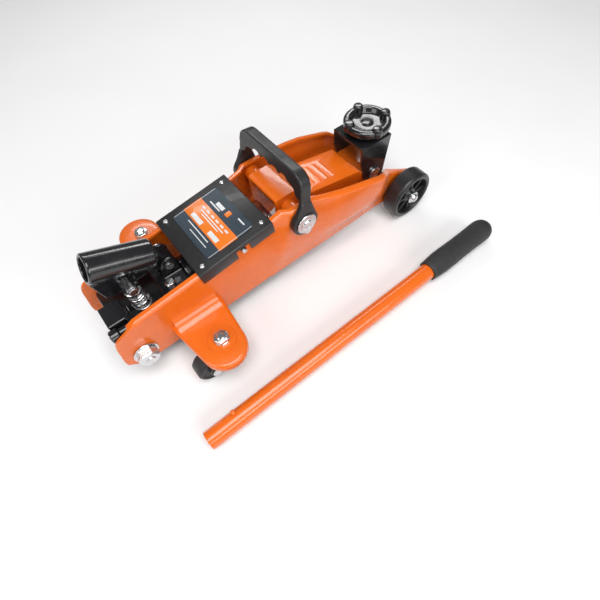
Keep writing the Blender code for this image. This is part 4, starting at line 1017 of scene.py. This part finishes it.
@dataclass
class Studio:
    """Floor, soft lights and the camera.

    Attributes:
        target: point the camera looks at.
        azimuth: camera bearing, in degrees.
        elevation: camera height angle, in degrees.
        roll: camera roll, in degrees.
        distance: from the target.
        lens: focal length in millimetres, on a 36 mm sensor.
    """

    target: tuple[float, float, float] = (-0.0184, -0.04795, -0.0270)
    azimuth: float = -34.1442
    elevation: float = 60.1718
    roll: float = -4.8661
    distance: float = 0.5601
    lens: float = 24.0

    def build(self) -> None:
        """Lay the floor, hang the lights and stand the camera."""
        self.floor()
        self.lights()
        self.camera()

    def floor(self) -> None:
        """Plain pale floor with a faint, uneven sheen."""
        bm = bmesh.new()
        bmesh.ops.create_grid(bm, x_segments=24, y_segments=24, size=4.0)
        mesh = bpy.data.meshes.new("floor")
        bm.to_mesh(mesh)
        bm.free()
        board = Board("pale_floor")
        clouds = board.span(board.noise(3, 3), 0.3, 0.7, 0.0, 1.0)
        color = board.mix(clouds, (0.86, 0.86, 0.86), (0.83, 0.83, 0.83))
        board.set(Base_Color=color, Roughness=board.span(board.noise(9, 3), 0.3, 0.7, 0.75, 0.9))
        mesh.materials.append(board.material)
        floor = bpy.data.objects.new("floor", mesh)
        bpy.context.scene.collection.objects.link(floor)
        LOG.info("laid the floor")

    def lamp(self, name: str, place: tuple[float, float, float], size: tuple[float, float], power: float,
             color: Color = (1.0, 1.0, 1.0)) -> None:
        """One soft box aimed at the jack.

        Args:
            name: the light's name.
            place: where it hangs.
            size: width and height.
            power: watts.
            color: light colour.
        """
        light = bpy.data.lights.new(name, "AREA")
        light.shape = "RECTANGLE"
        light.size, light.size_y = size
        light.energy = power
        light.color = color
        lamp = bpy.data.objects.new(name, light)
        lamp.location = place
        lamp.rotation_euler = (Vector(place) - Vector((0.0, 0.0, 0.05))).to_track_quat("Z", "Y").to_euler()
        bpy.context.scene.collection.objects.link(lamp)

    def lights(self) -> None:
        """Soft boxes above and beside the jack, and an even pale surround."""
        world = bpy.data.worlds.new("surround")
        world.use_nodes = True
        world.node_tree.nodes["Background"].inputs["Color"].default_value = (1.0, 1.0, 1.0, 1.0)
        world.node_tree.nodes["Background"].inputs["Strength"].default_value = 0.17
        bpy.context.scene.world = world
        self.lamp("key", (-0.15, -0.45, 1.6), (1.2, 0.9), 21)
        self.lamp("front", (0.1, -1.3, 0.75), (1.3, 0.5), 10)
        self.lamp("fill", (-1.2, -0.1, 0.8), (0.7, 0.7), 5)
        self.lamp("strip", (0.45, 1.0, 1.0), (1.3, 0.14), 6)
        bpy.context.scene.view_settings.view_transform = "Standard"

    def camera(self) -> None:
        """Camera from above the jack's near rear corner."""
        a, e, r = (math.radians(angle) for angle in (self.azimuth, self.elevation, self.roll))
        back = Vector((math.sin(a) * math.cos(e), -math.cos(a) * math.cos(e), math.sin(e)))
        right = Vector((math.cos(a), math.sin(a), 0))
        up = back.cross(right)
        right, up = math.cos(r) * right + math.sin(r) * up, -math.sin(r) * right + math.cos(r) * up
        data = bpy.data.cameras.new("camera")
        data.lens = self.lens
        data.sensor_width = 36.0
        camera = bpy.data.objects.new("camera", data)
        turn = Matrix((right, up, back)).transposed().to_4x4()
        camera.matrix_world = Matrix.Translation(Vector(self.target) + back * self.distance) @ turn
        bpy.context.scene.collection.objects.link(camera)
        bpy.context.scene.camera = camera
        LOG.info("stood the camera")


def main() -> None:
    """Build every assembly in order."""
    logging.basicConfig(level=logging.INFO, format="%(name)s: %(message)s")
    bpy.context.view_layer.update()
    for assembly in (FrameShell(), CoverLabel(), LiftingArm(), SaddleDish(), RoadWheel(), Caster(),
                     PowerUnit(), CarryHandle(), PumpLever()):
        assembly.build()
    Studio().build()
    bpy.context.view_layer.update()


if __name__ == "__main__":
    main()
